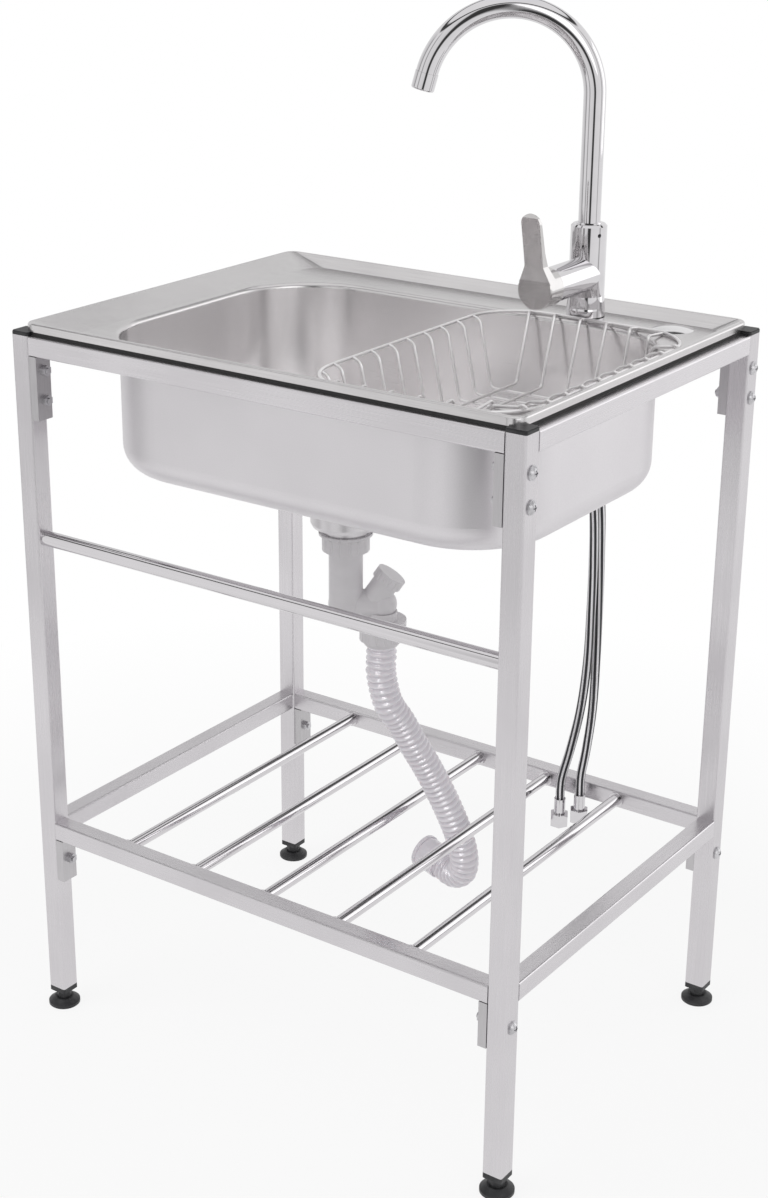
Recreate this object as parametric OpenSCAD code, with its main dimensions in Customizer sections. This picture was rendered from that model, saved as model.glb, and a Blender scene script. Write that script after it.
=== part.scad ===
// Free-standing kitchen sink unit: a welded and bolted steel stand, a pressed
// single-bowl sink, a lever mixer tap with two supply hoses, and the drain.
// Millimetres, X to the right, Y to the back, Z up, floor at zero.

/* [Stand] */
// Width over the legs
stand_w = 600; // [590:1:620]
// Depth over the legs
stand_d = 450; // [445:1:460]
// Height of the leg tubes' tops above the floor
leg_top_z = 776; // [766:1:786]
// Side of a leg tube
leg_size = 22; // [21:0.5:24]
// Side of a rail tube
rail_size = 20; // [18:0.5:20]
// Wall of the leg and rail tubes
tube_wall = 1.2; // [1:0.1:1.6]
// Underside of the shelf frame
shelf_z = 214; // [200:1:226]
// Outside diameter of a shelf bar
bar_d = 13; // [10:0.5:15]
// Distance between shelf bars
bar_pitch = 92; // [84:1:96]
// Outside diameter of the front crossbar
crossbar_d = 16; // [12:0.5:18]
// Height of the front crossbar's axis
crossbar_z = 561; // [500:1:600]

/* [Sink] */
// Distance from the stand's side to the sink's rim, left and right
side_inset = 10; // [5:1:12]
// Distance from the stand's face to the sink's rim, front and back
face_inset = 5; // [2:1:7]
// Thickness of the pressed sheet
sheet = 1; // [0.8:0.1:1.2]
// Depth from the top of the rim to the bowl floor
bowl_drop = 150; // [140:1:160]
// Radius of the bowl's upright corners, inside
bowl_corner_r = 94; // [80:1:100]
// Radius between the bowl's walls and floor, inside
floor_r = 28; // [20:1:32]

/* [Tap] */
// Diameter of the tap column
column_d = 37; // [35:0.5:38]
// Height of the column's top above the deck
column_h = 95; // [90:1:105]
// Outside diameter of the spout pipe
spout_d = 22.5; // [20:0.5:24]
// Radius of the spout's arch, to the pipe's middle
arch_r = 85; // [75:1:95]
// Sweep of the spout's arch
arch_sweep = 165; // [150:1:175]
// Direction the spout is swung to, from the right
spout_turn = 216; // [180:1:270]
// Width of the lever blade
blade_w = 21; // [18:1:26]

/* [Drain] */
// Place of the drain, left to right
drain_x = -36; // [-40:1:-30]
// Place of the drain, front to back
drain_y = -20; // [-26:1:-14]
// Outside diameter of the strainer cup
cup_d = 74; // [70:1:84]
// Outside diameter of the tail pipe
tail_d = 36; // [34:1:38]

/* [Wire basket] */
// Distance between basket wires
wire_pitch = 30; // [24:1:36]
// Diameter of the basket wires
wire_d = 3; // [2.5:0.1:3.4]
// Height of the basket's floor wires
basket_floor_z = 708; // [690:1:730]

/* [Hidden] */
$fn = 48;
half = 1 / 2;
// One overrun for every cut, and the named clearances
cut = 1;
thread_gap = 0.1;
fit_gap = 0.3;
running_gap = 0.05;
seam_lap = 0.2;

// Stand
leg_base_z = 24;
tube_r = 2;
corner_steps = 3;
leg_x = stand_w / 2 - leg_size / 2;
leg_y = stand_d / 2 - leg_size / 2;
rail_x = stand_w / 2 - rail_size / 2;
rail_y = stand_d / 2 - rail_size / 2;
span_x = stand_w - 2 * leg_size;
span_y = stand_d - 2 * leg_size;
top_rail_z = leg_top_z - rail_size;
bar_count = 5;
bar_shift = -6;
bar_wall = 1.2;
collar_over = 2;
collar_h = 2.5;
cap_h = 4;
cap_plug_h = 14;
cap_edge = 1;
sides = [-1, 1];

// Brackets and their fasteners
bracket_depth = 9.5;
bracket_t = 1.5;
top_bracket_h = 66;
shelf_bracket_h = 49;
top_bolt_drops = [15, 46];
shelf_bolt_drop = 23;
bolt_d = 6;
bolt_hole_d = 6.6;
head_d = 12;
head_h = 3.6;
head_sphere_r = 6.8;
recess_l = 6;
recess_w = 1.2;
recess_h = 1.8;
washer_d = 14;
washer_t = 1.2;
nut_af = 10;
nut_h = 5;
bolt_tail = 2;
bolt_zs = [top_rail_z - top_bolt_drops[0], top_rail_z - top_bolt_drops[1],
           shelf_z - shelf_bolt_drop];
hex_sides = 6;

// Levelling feet and their inserts
insert_collar_h = 6;
insert_plug_h = 16;
insert_rib_t = 1;
insert_rib_w = 3;
insert_boss_d = 13;
foot_d = 35;
foot_edge_h = 4;
foot_cone_d = 21;
foot_cone_h = 5;
foot_neck_d = 17;
neck_sides = 8;
foot_lip = 0.8;
stud_d = 8;
stud_h = 20;
insert_z = leg_base_z - insert_collar_h;
foot_top_z = insert_z - fit_gap;

// Sink: the rim, its slope and the deck
sink_w = stand_w - 2 * side_inset;
sink_d = stand_d - 2 * face_inset;
seat_z = leg_top_z + cap_h;
rim_h = 8;
rim_z = seat_z + rim_h;
rim_r = 14;
bead_r = 2.5;
bead_flat = 2.5;
deck_drop = 10;
deck_z = rim_z - deck_drop;
slope_top = bead_r + bead_flat;
slope_left = 48;
slope_right = 16;
slope_back = 20;
slope_front = 14;
slope_top_r = 9;
slope_low_r = 20;
plate_t = 0.1;
gasket_w = 10;
gasket_in = 1;

// Sink: the bowl
bowl_in_left = 59;
bowl_in_right = 27;
bowl_in_front = 21;
bowl_in_back = 74;
bowl_left = -sink_w / 2 + bowl_in_left;
bowl_right = sink_w / 2 - bowl_in_right;
bowl_front = -sink_d / 2 + bowl_in_front;
bowl_back = sink_d / 2 - bowl_in_back;
lip_r = 5;
bowl_z = rim_z - bowl_drop;
bowl_w = bowl_right - bowl_left;
bowl_d = bowl_back - bowl_front;
bowl_cx = (bowl_left + bowl_right) / 2;
bowl_cy = (bowl_front + bowl_back) / 2;
flat_w = bowl_w - 2 * bowl_corner_r;
flat_d = bowl_d - 2 * bowl_corner_r;
dish_d = 120;
dish_low_d = 116;
dish_h = 3.5;
drain_hole_d = 87;

// Tap hole and the covered second hole
hole_d = 34;
tap_from_side = 164;
tap_from_back = 43;
tap_x = sink_w / 2 - tap_from_side;
tap_y = sink_d / 2 - tap_from_back;
cover_from_side = 62;
cover_from_back = 44;
cover_x = sink_w / 2 - cover_from_side;
cover_y = sink_d / 2 - cover_from_back;
cover_d = 42;
cover_h = 3;
cover_sphere_r = 75;
cover_stem_d = 8;
cover_stem_h = 26;
cover_spigot_h = 3;
cover_washer_d = 44;
cover_washer_t = 2;
cover_nut_h = 7;
cover_nut_d = 16;
wing_l = 34;
wing_t = 4;
wing_h = 11;

// Tap
seal_t = 0.8;
base_d = 40;
base_h = 9;
base_z = deck_z + seal_t;
body_z = base_z + base_h;
column_top_z = deck_z + column_h;
flare_d = 39.4;
flare_h = 12;
column_edge = 2;
housing_d = 36;
housing_rise = 44;
housing_z = deck_z + housing_rise;
housing_l = 80;
housing_edge = 1.5;
spout_depth = 30;
bore_floor_z = column_top_z - spout_depth;
waterway_d = 12;
shank_d = 32;
shank_bore_d = 27;
shank_low = 50;
shank_up = 10;
shank_nut_af = 46;
shank_nut_h = 9;
shank_washer_d = 50;
shank_washer_t = 3;
nipple_d = 8;
nipple_h = 12;
port_d = 6;
hose_step = 6;

// Cartridge, stem and lever, along the housing's axis towards the front
pivot_in = 17;
pivot_at = housing_l - pivot_in;
dome_r = 25.5;
skirt_gap = 0.6;
cartridge_d = 31;
cartridge_l = 36;
cartridge_wall = 3;
carrier_d = 24.6;
carrier_t = 10;
carrier_slot_w = 7;
carrier_slot_h = 20;
trunnion_d = 4;
trunnion_l = 15;
stem_w = 6.4;
stem_back = 4;
ring_hole_d = 29;
ring_thread_d = 33.4;
ring_thread_l = 6;
lever_d = 39.5;
lever_head_l = 24;
lever_edge = 1.2;
socket_depth = 9;
blade_h = 78;
blade_t = 6;
blade_root_t = 13;
blade_lean = 13;
blade_tip_t = 4;
blade_waist_share = 0.42;
neck_low_share = 0.18;
neck_top_share = 0.62;
neck_w_share = 0.92;
screw_d = 4;

// Spout and outlet
spout_wall = 1.2;
arch_z = 1000;
spout_seat_gap = 0.05;
groove_depth = 0.6;
groove_h = 7;
groove_drop = 10;
collar_d = 26;
collar_t = 1.6;
aerator_d = 23.4;
aerator_l = 17;
aerator_lip = 1.2;
mesh_t = 1.6;
mesh_bar = 0.8;
mesh_pitch = 3;
mesh_count = 6;
grub_d = 4;
grub_turn = -25;

// Drain
flange_d = 112;
flange_t = 1.5;
flange_step = 4;
cup_t = 1.2;
cup_low_z = 571;
cup_low_d = 70;
collar_ring_d = 50;
collar_low_z = 564;
neck_d = 46;
neck_bore_d = 34;
neck_low_z = 556.5;
drain_gasket_d = 108;
drain_gasket_t = 3;
lock_nut_d = 104;
lock_nut_h = 11;
lock_lug_w = 8;
lock_lug_h = 6;
lug_count = 6;
perf_d = 5;
perf_ring_r = 15;
perf_count = 10;
slip_nut_d = 50;
slip_low_z = 544;
slip_flare_d = 57;
slip_flare_h = 5;
tail_flange_d = 45;
tail_flange_h = 3;
tail_wall = 2;
rib_cut_d = 4;
rib_cut_count = 16;
rib_cut_in = 0.6;
elbow_z = 483;
elbow_over = 1.2;
link_d = 31;
outlet_off = [31, 22];
outlet_x = drain_x + outlet_off[0];
outlet_y = drain_y + outlet_off[1];
wye_turn = atan2(outlet_off[1], outlet_off[0]);
wye_reach = norm(outlet_off);
outlet_d = 33;
branch_d = 28;
branch_from = 26;
branch_l = 37;
branch_tilt = 34;
branch_cap_d = 33;
branch_cap_l = 11;
branch_cap_t = 3;
outlet_nut_top_z = 466;
outlet_nut_low_z = 438;
outlet_flange_d = 52.5;
outlet_flange_h = 7;
outlet_body_d = 47;
outlet_neck_d = 37;
outlet_neck_h = 5;

// Strainer basket
cage_d = 66;
cage_top_d = 70;
cage_h = 40;
cage_t = 1;
cage_hole_d = 6;
cage_hole_count = 12;
cage_rows = 2;
cage_row_step = 12;
post_d = 7;
post_h = 30;
knob_d = 15;
knob_h = 9;
cage_foot_h = 3;
cage_foot_d = 34;

// Drain hose: its route, ribs and end cuff
hose_d = 33;
hose_rib_in = 2.4;
hose_bore_d = 25;
hose_ribs = 88;
hose_bore_rings = 60;
hose_side_count = 8;
hose_side_turn = 24;
rib_open_share = 0.38;
drain_route = [[-5, 2, 438], [-5, 2, 420], [-5, 2, 402], [0, 8, 368],
               [7, 23, 341], [15, 36, 312], [23, 50, 283], [32, 63, 251],
               [41, 73, 220], [48, 82, 189], [51, 88, 161], [45, 94, 139],
               [28, 101, 128], [6, 109, 131], [-16, 113, 135]];
cuff_over = 25;
cuff_d = 37.5;
cuff_lip_d = 40;
cuff_lip_l = 4;
cuff_stick_out = 5;

// Braided supply hoses: their routes, crimped sleeves and union nuts
braid_d = 10;
braid_sides = 10;
braid_rings = 38;
hot_route = [[126, 171, 760], [126, 171, 742], [126, 171, 724], [130, 170, 690],
             [142, 170, 635], [150, 171, 575], [152, 172, 515], [151, 174, 455],
             [148, 177, 395], [140, 181, 335], [128, 184, 282], [118, 186, 246],
             [116, 186, 230], [116, 186, 215]];
cold_route = [[126, 183, 760], [126, 183, 742], [126, 183, 724], [131, 183, 690],
              [143, 183, 635], [151, 184, 575], [153, 185, 515], [153, 187, 455],
              [152, 189, 395], [150, 190, 335], [145, 190, 286], [140, 190, 254],
              [139, 190, 240], [139, 190, 225]];
sleeve_d = 11.6;
low_sleeve_d = 13;
sleeve_h = 18;
union_af = 19;
union_h = 15;
union_bore_d = 16;
union_lip_h = 3;
union_thread_l = 7.5;
union_relief_d = 16.8;
tail_piece_h = 7.4;
tail_piece_d = 12;

// Wire basket
rim_wire_d = 3.5;
basket_w = 233;
basket_over_right = 8;
basket_over_front = 5.5;
basket_over_back = 6;
basket_right = bowl_right + basket_over_right;
basket_left = basket_right - basket_w;
basket_front = bowl_front - basket_over_front;
basket_back = bowl_back + basket_over_back;
basket_corner_r = 60;
floor_in_left = 26;
floor_in_right = 23;
floor_in_front = 23;
floor_in_back = 28;
basket_floor_left = basket_left + floor_in_left;
basket_floor_right = bowl_right - floor_in_right;
basket_floor_front = bowl_front + floor_in_front;
basket_floor_back = bowl_back - floor_in_back;
cross_in = 26;
cross_first_y = bowl_front + cross_in;
cross_count = floor((bowl_d - 2 * cross_in) / wire_pitch) + 1;
long_in = 43;
long_first_x = basket_left + long_in;
long_count = floor((basket_w - 2 * long_in) / wire_pitch) + 2;
shoulder_in = 6;
shoulder_left = 10;
shoulder_dip = 2;
wire_dip = 0.25;
wire_sides = 8;
wire_flat = wire_d * cos(180 / wire_sides);
wire_bend = 4;
cross_bend = 6;
shoulder_drop = 1.2;
shoulder_rise = 3.2;
weld_gap = 0.2;
rim_inset = rim_wire_d / 2 + weld_gap;
rim_steps = 16;
hook_step = 30;
rim_wire_z = deck_z + rim_wire_d / 2 + wire_dip;

// Corner points of a rounded rectangle about the origin
function round_points(w, d, r, n) = [
  for (q = [0:3]) for (k = [0:n])
    let (a = q * 90 + k * 90 / n,
         cx = (q == 0 || q == 3 ? 1 : -1) * (w / 2 - r),
         cy = (q < 2 ? 1 : -1) * (d / 2 - r))
    [cx + r * cos(a), cy + r * sin(a)]
];

module round_rect(w, d, r, n = corner_steps) polygon(round_points(w, d, r, n));

// A square tube's section with rounded outer and inner corners
module tube_section(size) {
  difference() {
    round_rect(size, size, tube_r);
    round_rect(size - 2 * tube_wall, size - 2 * tube_wall, tube_r - tube_wall);
  }
}

module ring(d_out, d_in, h) {
  difference() {
    cylinder(d = d_out, h = h);
    translate([0, 0, -cut]) cylinder(d = d_in, h = h + 2 * cut);
  }
}

module hexagon(af, h) cylinder(d = af / cos(30), h = h, $fn = hex_sides);

// Grip flutes cut round a nut
module flutes(d, h, count) {
  for (k = [0:count - 1]) rotate([0, 0, k * 360 / count])
    translate([d / 2 + rib_cut_d / 2 - rib_cut_in, 0, -cut])
      cylinder(d = rib_cut_d, h = h + 2 * cut, $fn = 16);
}

// A round bar from one point to another
module rod(a, b, d) {
  v = b - a;
  translate(a) rotate([0, acos(v[2] / norm(v)), atan2(v[1], v[0])])
    cylinder(d = d, h = norm(v));
}

// Smooth curve through the points of a route, t from 0 to its last index
function spot(r, t) =
  let (n = len(r), i = min(floor(t), n - 2), f = t - i,
       b = r[i], c = r[i + 1],
       a = i > 0 ? r[i - 1] : 2 * b - c,
       d = i < n - 2 ? r[i + 2] : 2 * c - b)
  (2 * b + (c - a) * f + (2 * a - 5 * b + 4 * c - d) * f * f
   + (3 * b - a - 3 * c + d) * f * f * f) / 2;

function heading(r, t) =
  let (n = len(r) - 1, s = n / 1000,
       v = spot(r, min(t + s, n)) - spot(r, max(t - s, 0)))
  v / norm(v);

// One ring of a swept tube, square to its route
function loop_points(r, t, radius, count, side) =
  let (h = heading(r, t), u0 = cross(side, h), u = u0 / norm(u0), v = cross(h, u),
       p = spot(r, t))
  [for (k = [0:count - 1])
    p + radius * (cos(k * 360 / count) * u + sin(k * 360 / count) * v)];

// Faces joining rings that follow one another
function band(first, count, rings) = [
  for (i = [0:rings - 2]) for (k = [0:count - 1])
    let (a = first + i * count + k, b = first + i * count + (k + 1) % count)
    each [[a, b, b + count], [a, b + count, a + count]]
];

// Flat ends of a row of rings
function end_faces(count, rings) = let (z = (rings - 1) * count) [
  for (k = [1:count - 2]) each [[0, k + 1, k], [z, z + k, z + k + 1]]
];

// A leg: sx and sy say which corner it stands at
module leg(sx, sy) {
  color("gainsboro") translate([sx * leg_x, sy * leg_y, 0]) difference() {
    translate([0, 0, leg_base_z]) linear_extrude(leg_top_z - leg_base_z)
      tube_section(leg_size);
    for (z = bolt_zs) translate([0, 0, z]) rotate([0, 90, 0])
      cylinder(d = bolt_hole_d, h = leg_size + 2 * cut, center = true);
  }
}

module front_left_leg() leg(-1, -1);
module front_right_leg() leg(1, -1);
module back_left_leg() leg(-1, 1);
module back_right_leg() leg(1, 1);

module at_legs() for (sx = sides) for (sy = sides)
  translate([sx * leg_x, sy * leg_y, 0]) children();

module leg_caps() {
  plug = leg_size - 2 * tube_wall - 2 * thread_gap;
  color("black") at_legs() {
    translate([0, 0, leg_top_z]) linear_extrude(cap_h - cap_edge)
      round_rect(leg_size, leg_size, tube_r);
    translate([0, 0, leg_top_z + cap_h - cap_edge]) linear_extrude(cap_edge)
      round_rect(leg_size - cap_edge, leg_size - cap_edge, tube_r);
    translate([0, 0, leg_top_z - cap_plug_h]) linear_extrude(cap_plug_h)
      difference() {
        round_rect(plug, plug, tube_r - tube_wall);
        round_rect(plug - 2 * tube_r, plug - 2 * tube_r, tube_r - tube_wall);
      }
  }
}

module rail_along_x(y, z) {
  color("gainsboro") translate([-span_x / 2, y, z + rail_size / 2])
    rotate([90, 0, 90]) linear_extrude(span_x) tube_section(rail_size);
}

module rail_along_y(x, z) {
  color("gainsboro") translate([x, span_y / 2, z + rail_size / 2])
    rotate([90, 0, 0]) linear_extrude(span_y) tube_section(rail_size);
}

module front_top_rail() rail_along_x(-rail_y, top_rail_z);
module back_top_rail() rail_along_x(rail_y, top_rail_z);
module left_top_rail() rail_along_y(-rail_x, top_rail_z);
module right_top_rail() rail_along_y(rail_x, top_rail_z);
module front_shelf_rail() rail_along_x(-rail_y, shelf_z);
module back_shelf_rail() rail_along_x(rail_y, shelf_z);
module left_shelf_rail() rail_along_y(-rail_x, shelf_z);
module right_shelf_rail() rail_along_y(rail_x, shelf_z);

// A channel that hangs under a rail and closes against the leg
module channel(top_z, h, zs) {
  for (sx = sides) for (sy = sides)
    translate([sx * span_x / 2, sy * rail_y, 0]) mirror([sx > 0 ? 1 : 0, 0, 0])
      difference() {
        translate([0, -rail_size / 2, top_z - h]) cube([bracket_depth, rail_size, h]);
        translate([-cut, bracket_t - rail_size / 2, top_z - h - cut])
          cube([bracket_depth - bracket_t + cut, rail_size - 2 * bracket_t, h + 2 * cut]);
        for (z = zs) translate([0, sy * (leg_y - rail_y), z]) rotate([0, 90, 0])
          cylinder(d = bolt_hole_d, h = bracket_depth + cut);
      }
}

module top_brackets() color("silver") channel(top_rail_z, top_bracket_h,
                                              [bolt_zs[0], bolt_zs[1]]);
module shelf_brackets() color("silver") channel(shelf_z, shelf_bracket_h, [bolt_zs[2]]);

// Places on the legs' outer faces, looking outwards
module at_bolts() for (sx = sides) for (sy = sides) for (z = bolt_zs)
  translate([sx * stand_w / 2, sy * leg_y, z]) rotate([0, sx * 90, 0]) children();

module frame_bolts() {
  reach = leg_size + bracket_depth + nut_h + bolt_tail;
  color("silver") at_bolts() {
    translate([0, 0, -reach]) cylinder(d = bolt_d, h = reach + washer_t, $fn = 24);
    translate([0, 0, washer_t]) difference() {
      intersection() {
        cylinder(d = head_d, h = head_h);
        translate([0, 0, head_h - head_sphere_r]) sphere(r = head_sphere_r);
      }
      for (a = [0, 90]) rotate([0, 0, a])
        translate([-recess_l / 2, -recess_w / 2, head_h - recess_h])
          cube([recess_l, recess_w, recess_h + cut]);
    }
  }
}

module frame_washers() color("silver") at_bolts()
  ring(washer_d, bolt_d + 2 * thread_gap, washer_t);

module frame_nuts() color("silver") at_bolts()
  translate([0, 0, -leg_size - bracket_depth - nut_h]) difference() {
    hexagon(nut_af, nut_h);
    translate([0, 0, -cut]) cylinder(d = bolt_d + 2 * thread_gap, h = nut_h + 2 * cut,
                                     $fn = 24);
  }

module front_crossbar() {
  color("gainsboro") translate([-span_x / 2, -leg_y, crossbar_z]) rotate([0, 90, 0])
    ring(crossbar_d, crossbar_d - 2 * bar_wall, span_x);
}

module shelf_bars() {
  reach = stand_d - 2 * rail_size;
  color("gainsboro") for (k = [0:bar_count - 1])
    translate([bar_shift + (k - (bar_count - 1) / 2) * bar_pitch, reach / 2,
               shelf_z + rail_size / 2])
      rotate([90, 0, 0]) difference() {
        union() {
          cylinder(d = bar_d, h = reach);
          for (z = [0, reach - collar_h]) translate([0, 0, z])
            cylinder(d = bar_d + 2 * collar_over, h = collar_h);
        }
        translate([0, 0, -cut]) cylinder(d = bar_d - 2 * bar_wall, h = reach + 2 * cut);
      }
}

module foot_inserts() {
  plug = leg_size - 2 * tube_wall - 2 * fit_gap;
  color("black") at_legs() difference() {
    union() {
      translate([0, 0, insert_z]) linear_extrude(insert_collar_h)
        round_rect(leg_size, leg_size, tube_r);
      translate([0, 0, leg_base_z]) {
        cylinder(d = insert_boss_d, h = insert_plug_h);
        for (a = [0, 90]) rotate([0, 0, a])
          translate([-plug / 2, -insert_rib_w / 2, 0])
            cube([plug, insert_rib_w, insert_plug_h]);
        for (a = [0, 90, 180, 270]) rotate([0, 0, a])
          translate([plug / 2 - insert_rib_t, -plug / 2 + insert_rib_w, 0])
            cube([insert_rib_t, plug - 2 * insert_rib_w, insert_plug_h]);
      }
    }
    translate([0, 0, insert_z - cut])
      cylinder(d = stud_d + 2 * thread_gap, h = insert_collar_h + insert_plug_h + 2 * cut);
  }
}

module foot(sx, sy) {
  color("dimgray") translate([sx * leg_x, sy * leg_y, 0]) {
    cylinder(d1 = foot_d - 2 * foot_lip, d2 = foot_d, h = foot_lip);
    translate([0, 0, foot_lip]) cylinder(d = foot_d, h = foot_edge_h - foot_lip);
    translate([0, 0, foot_edge_h]) cylinder(d1 = foot_d, d2 = foot_cone_d, h = foot_cone_h);
    translate([0, 0, foot_edge_h]) cylinder(d = foot_neck_d, h = foot_top_z - foot_edge_h,
                                            $fn = neck_sides);
    cylinder(d = stud_d, h = foot_top_z + stud_h, $fn = 24);
  }
}

module front_left_foot() foot(-1, -1);
module front_right_foot() foot(1, -1);
module back_left_foot() foot(-1, 1);
module back_right_foot() foot(1, 1);

// Sweep a section round a rounded rectangle; the section's x is measured
// from the corner's centre, so the same drawing turns the corners and runs
// along the sides
module around(w, d, r) {
  for (q = [0:3]) rotate([0, 0, q * 90]) {
    a = q % 2 == 0 ? w : d;
    b = q % 2 == 0 ? d : w;
    translate([a / 2 - r, b / 2 - r, 0]) rotate_extrude(angle = 90, $fn = 96) children();
    translate([a / 2 - r, b / 2 - r, 0]) rotate([90, 0, 0])
      linear_extrude(b - 2 * r) children();
  }
}

// Quarter of a sheet bend about a centre, between two radii
module bend(x, z, r_in, r_out, qx, qz) {
  translate([x, z]) intersection() {
    difference() {
      circle(r = r_out);
      circle(r = r_in);
    }
    translate([qx < 0 ? -r_out : 0, qz < 0 ? -r_out : 0]) square([r_out, r_out]);
  }
}

// Section of the outer bead: hem, rounded edge and the flat on top
module bead_section() {
  intersection() {
    union() {
      translate([rim_r - sheet, seat_z]) square([sheet, rim_h - bead_r]);
      bend(rim_r - bead_r, rim_z - bead_r, bead_r - sheet, bead_r, 1, 1);
      translate([rim_r - slope_top - seam_lap, rim_z - sheet])
        square([bead_flat + seam_lap, sheet]);
    }
    translate([0, seat_z]) square([rim_r, rim_h]);
  }
}

// Section of the bowl: lip, wall and the bend into the floor
module bowl_section() {
  wall = bowl_corner_r;
  bend(wall + lip_r, deck_z - lip_r, lip_r - sheet, lip_r, -1, 1);
  translate([wall, bowl_z + floor_r]) square([sheet, deck_z - lip_r - bowl_z - floor_r]);
  bend(wall - floor_r, bowl_z + floor_r, floor_r, floor_r + sheet, 1, -1);
  translate([0, bowl_z - sheet]) square([wall - floor_r, sheet]);
}

// The hollow above the deck: its four slopes have their own widths
module deck_hollow(down) {
  low_x0 = -sink_w / 2 + slope_left;
  low_x1 = sink_w / 2 - slope_right;
  low_y0 = -sink_d / 2 + slope_front;
  low_y1 = sink_d / 2 - slope_back;
  translate([0, 0, -down]) hull() {
    translate([0, 0, rim_z]) linear_extrude(sheet)
      round_rect(sink_w - 2 * slope_top, sink_d - 2 * slope_top, slope_top_r, 6);
    translate([(low_x0 + low_x1) / 2, (low_y0 + low_y1) / 2, deck_z]) linear_extrude(plate_t)
      round_rect(low_x1 - low_x0, low_y1 - low_y0, slope_low_r, 6);
  }
}

module bowl_outline(r, h) {
  for (sx = sides) for (sy = sides)
    translate([bowl_cx + sx * flat_w / 2, bowl_cy + sy * flat_d / 2, 0])
      cylinder(r = r, h = h, $fn = 96);
  translate([bowl_cx - flat_w / 2, bowl_cy - flat_d / 2 - r, 0]) cube([flat_w, flat_d + 2 * r, h]);
  translate([bowl_cx - flat_w / 2 - r, bowl_cy - flat_d / 2, 0]) cube([flat_w + 2 * r, flat_d, h]);
}

module sink_bowl() {
  color("lightgray") {
    around(sink_w, sink_d, rim_r) bead_section();
    difference() {
      deck_hollow(sheet);
      deck_hollow(0);
      translate([0, 0, deck_z - sheet - cut]) bowl_outline(bowl_corner_r + lip_r, rim_h);
      for (p = [[tap_x, tap_y], [cover_x, cover_y]])
        translate([p[0], p[1], deck_z - sheet - cut]) cylinder(d = hole_d, h = rim_h);
    }
    difference() {
      union() {
        translate([bowl_cx, bowl_cy, 0])
          around(bowl_w, bowl_d, bowl_corner_r) bowl_section();
        translate([bowl_cx - flat_w / 2, bowl_cy - flat_d / 2, bowl_z - sheet])
          cube([flat_w, flat_d, sheet]);
      }
      translate([drain_x, drain_y, bowl_z - sheet - cut])
        cylinder(d = dish_d - 2 * sheet, h = sheet + 2 * cut);
    }
    translate([drain_x, drain_y, bowl_z - dish_h]) rotate_extrude()
      polygon([[drain_hole_d / 2, -sheet], [dish_low_d / 2, -sheet],
               [dish_d / 2, dish_h - sheet], [dish_d / 2, dish_h],
               [dish_d / 2 - sheet, dish_h], [dish_low_d / 2 - sheet, 0],
               [drain_hole_d / 2, 0]]);
  }
}

module sink_gasket() {
  w = sink_w - 2 * gasket_in;
  d = sink_d - 2 * gasket_in;
  color("black") translate([0, 0, leg_top_z]) linear_extrude(cap_h) difference() {
    square([w, d], center = true);
    square([w - 2 * gasket_w, d - 2 * gasket_w], center = true);
    for (sx = sides) for (sy = sides) translate([sx * leg_x, sy * leg_y])
      square([leg_size + 2 * fit_gap, leg_size + 2 * fit_gap], center = true);
  }
}

module hole_cover() {
  color("silver") translate([cover_x, cover_y, deck_z]) {
    intersection() {
      cylinder(d = cover_d, h = cover_h);
      translate([0, 0, cover_h - cover_sphere_r]) sphere(r = cover_sphere_r, $fn = 96);
    }
    translate([0, 0, -cover_spigot_h]) cylinder(d = hole_d - 2 * fit_gap, h = cover_spigot_h);
    translate([0, 0, -cover_stem_h]) cylinder(d = cover_stem_d, h = cover_stem_h);
  }
}

module cover_nut() {
  color("dimgray") translate([cover_x, cover_y, deck_z - cover_spigot_h - cover_washer_t]) {
    ring(cover_washer_d, cover_stem_d + 2 * thread_gap, cover_washer_t);
    translate([0, 0, -cover_nut_h]) difference() {
      union() {
        cylinder(d = cover_nut_d, h = cover_nut_h);
        translate([-wing_l / 2, -wing_t / 2, cover_nut_h - wing_h])
          cube([wing_l, wing_t, wing_h]);
      }
      translate([0, 0, -wing_h]) cylinder(d = cover_stem_d + 2 * thread_gap,
                                          h = wing_h + cover_nut_h + cut);
    }
  }
}

// Pieces on the drain's upright axis
module at_drain(z) translate([drain_x, drain_y, z]) children();

module strainer_body() {
  seat = bowl_z - dish_h;
  r = cup_d / 2;
  low = cup_low_d / 2;
  color("silver") at_drain(0) difference() {
    rotate_extrude() polygon([
      [flange_d / 2 - flange_t, seat + flange_t], [flange_d / 2, seat],
      [r, seat], [r, cup_low_z + flange_step], [low, cup_low_z],
      [collar_ring_d / 2, cup_low_z], [collar_ring_d / 2, collar_low_z],
      [neck_d / 2, collar_low_z], [neck_d / 2, neck_low_z],
      [neck_bore_d / 2, neck_low_z], [neck_bore_d / 2, cup_low_z - flange_step],
      [0, cup_low_z - flange_step], [0, cup_low_z - flange_step + cup_t],
      [neck_bore_d / 2 + cup_t, cup_low_z + cup_t],
      [low - cup_t, cup_low_z + cup_t], [r - cup_t, cup_low_z + flange_step],
      [r - cup_t, seat], [r + flange_step, seat + flange_t]]);
    for (k = [0:perf_count - 1]) rotate([0, 0, k * 360 / perf_count])
      translate([perf_ring_r - perf_d / 2, 0, neck_low_z])
        cylinder(d = perf_d, h = cup_low_z - neck_low_z + 2 * cut, $fn = 24);
  }
}

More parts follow.
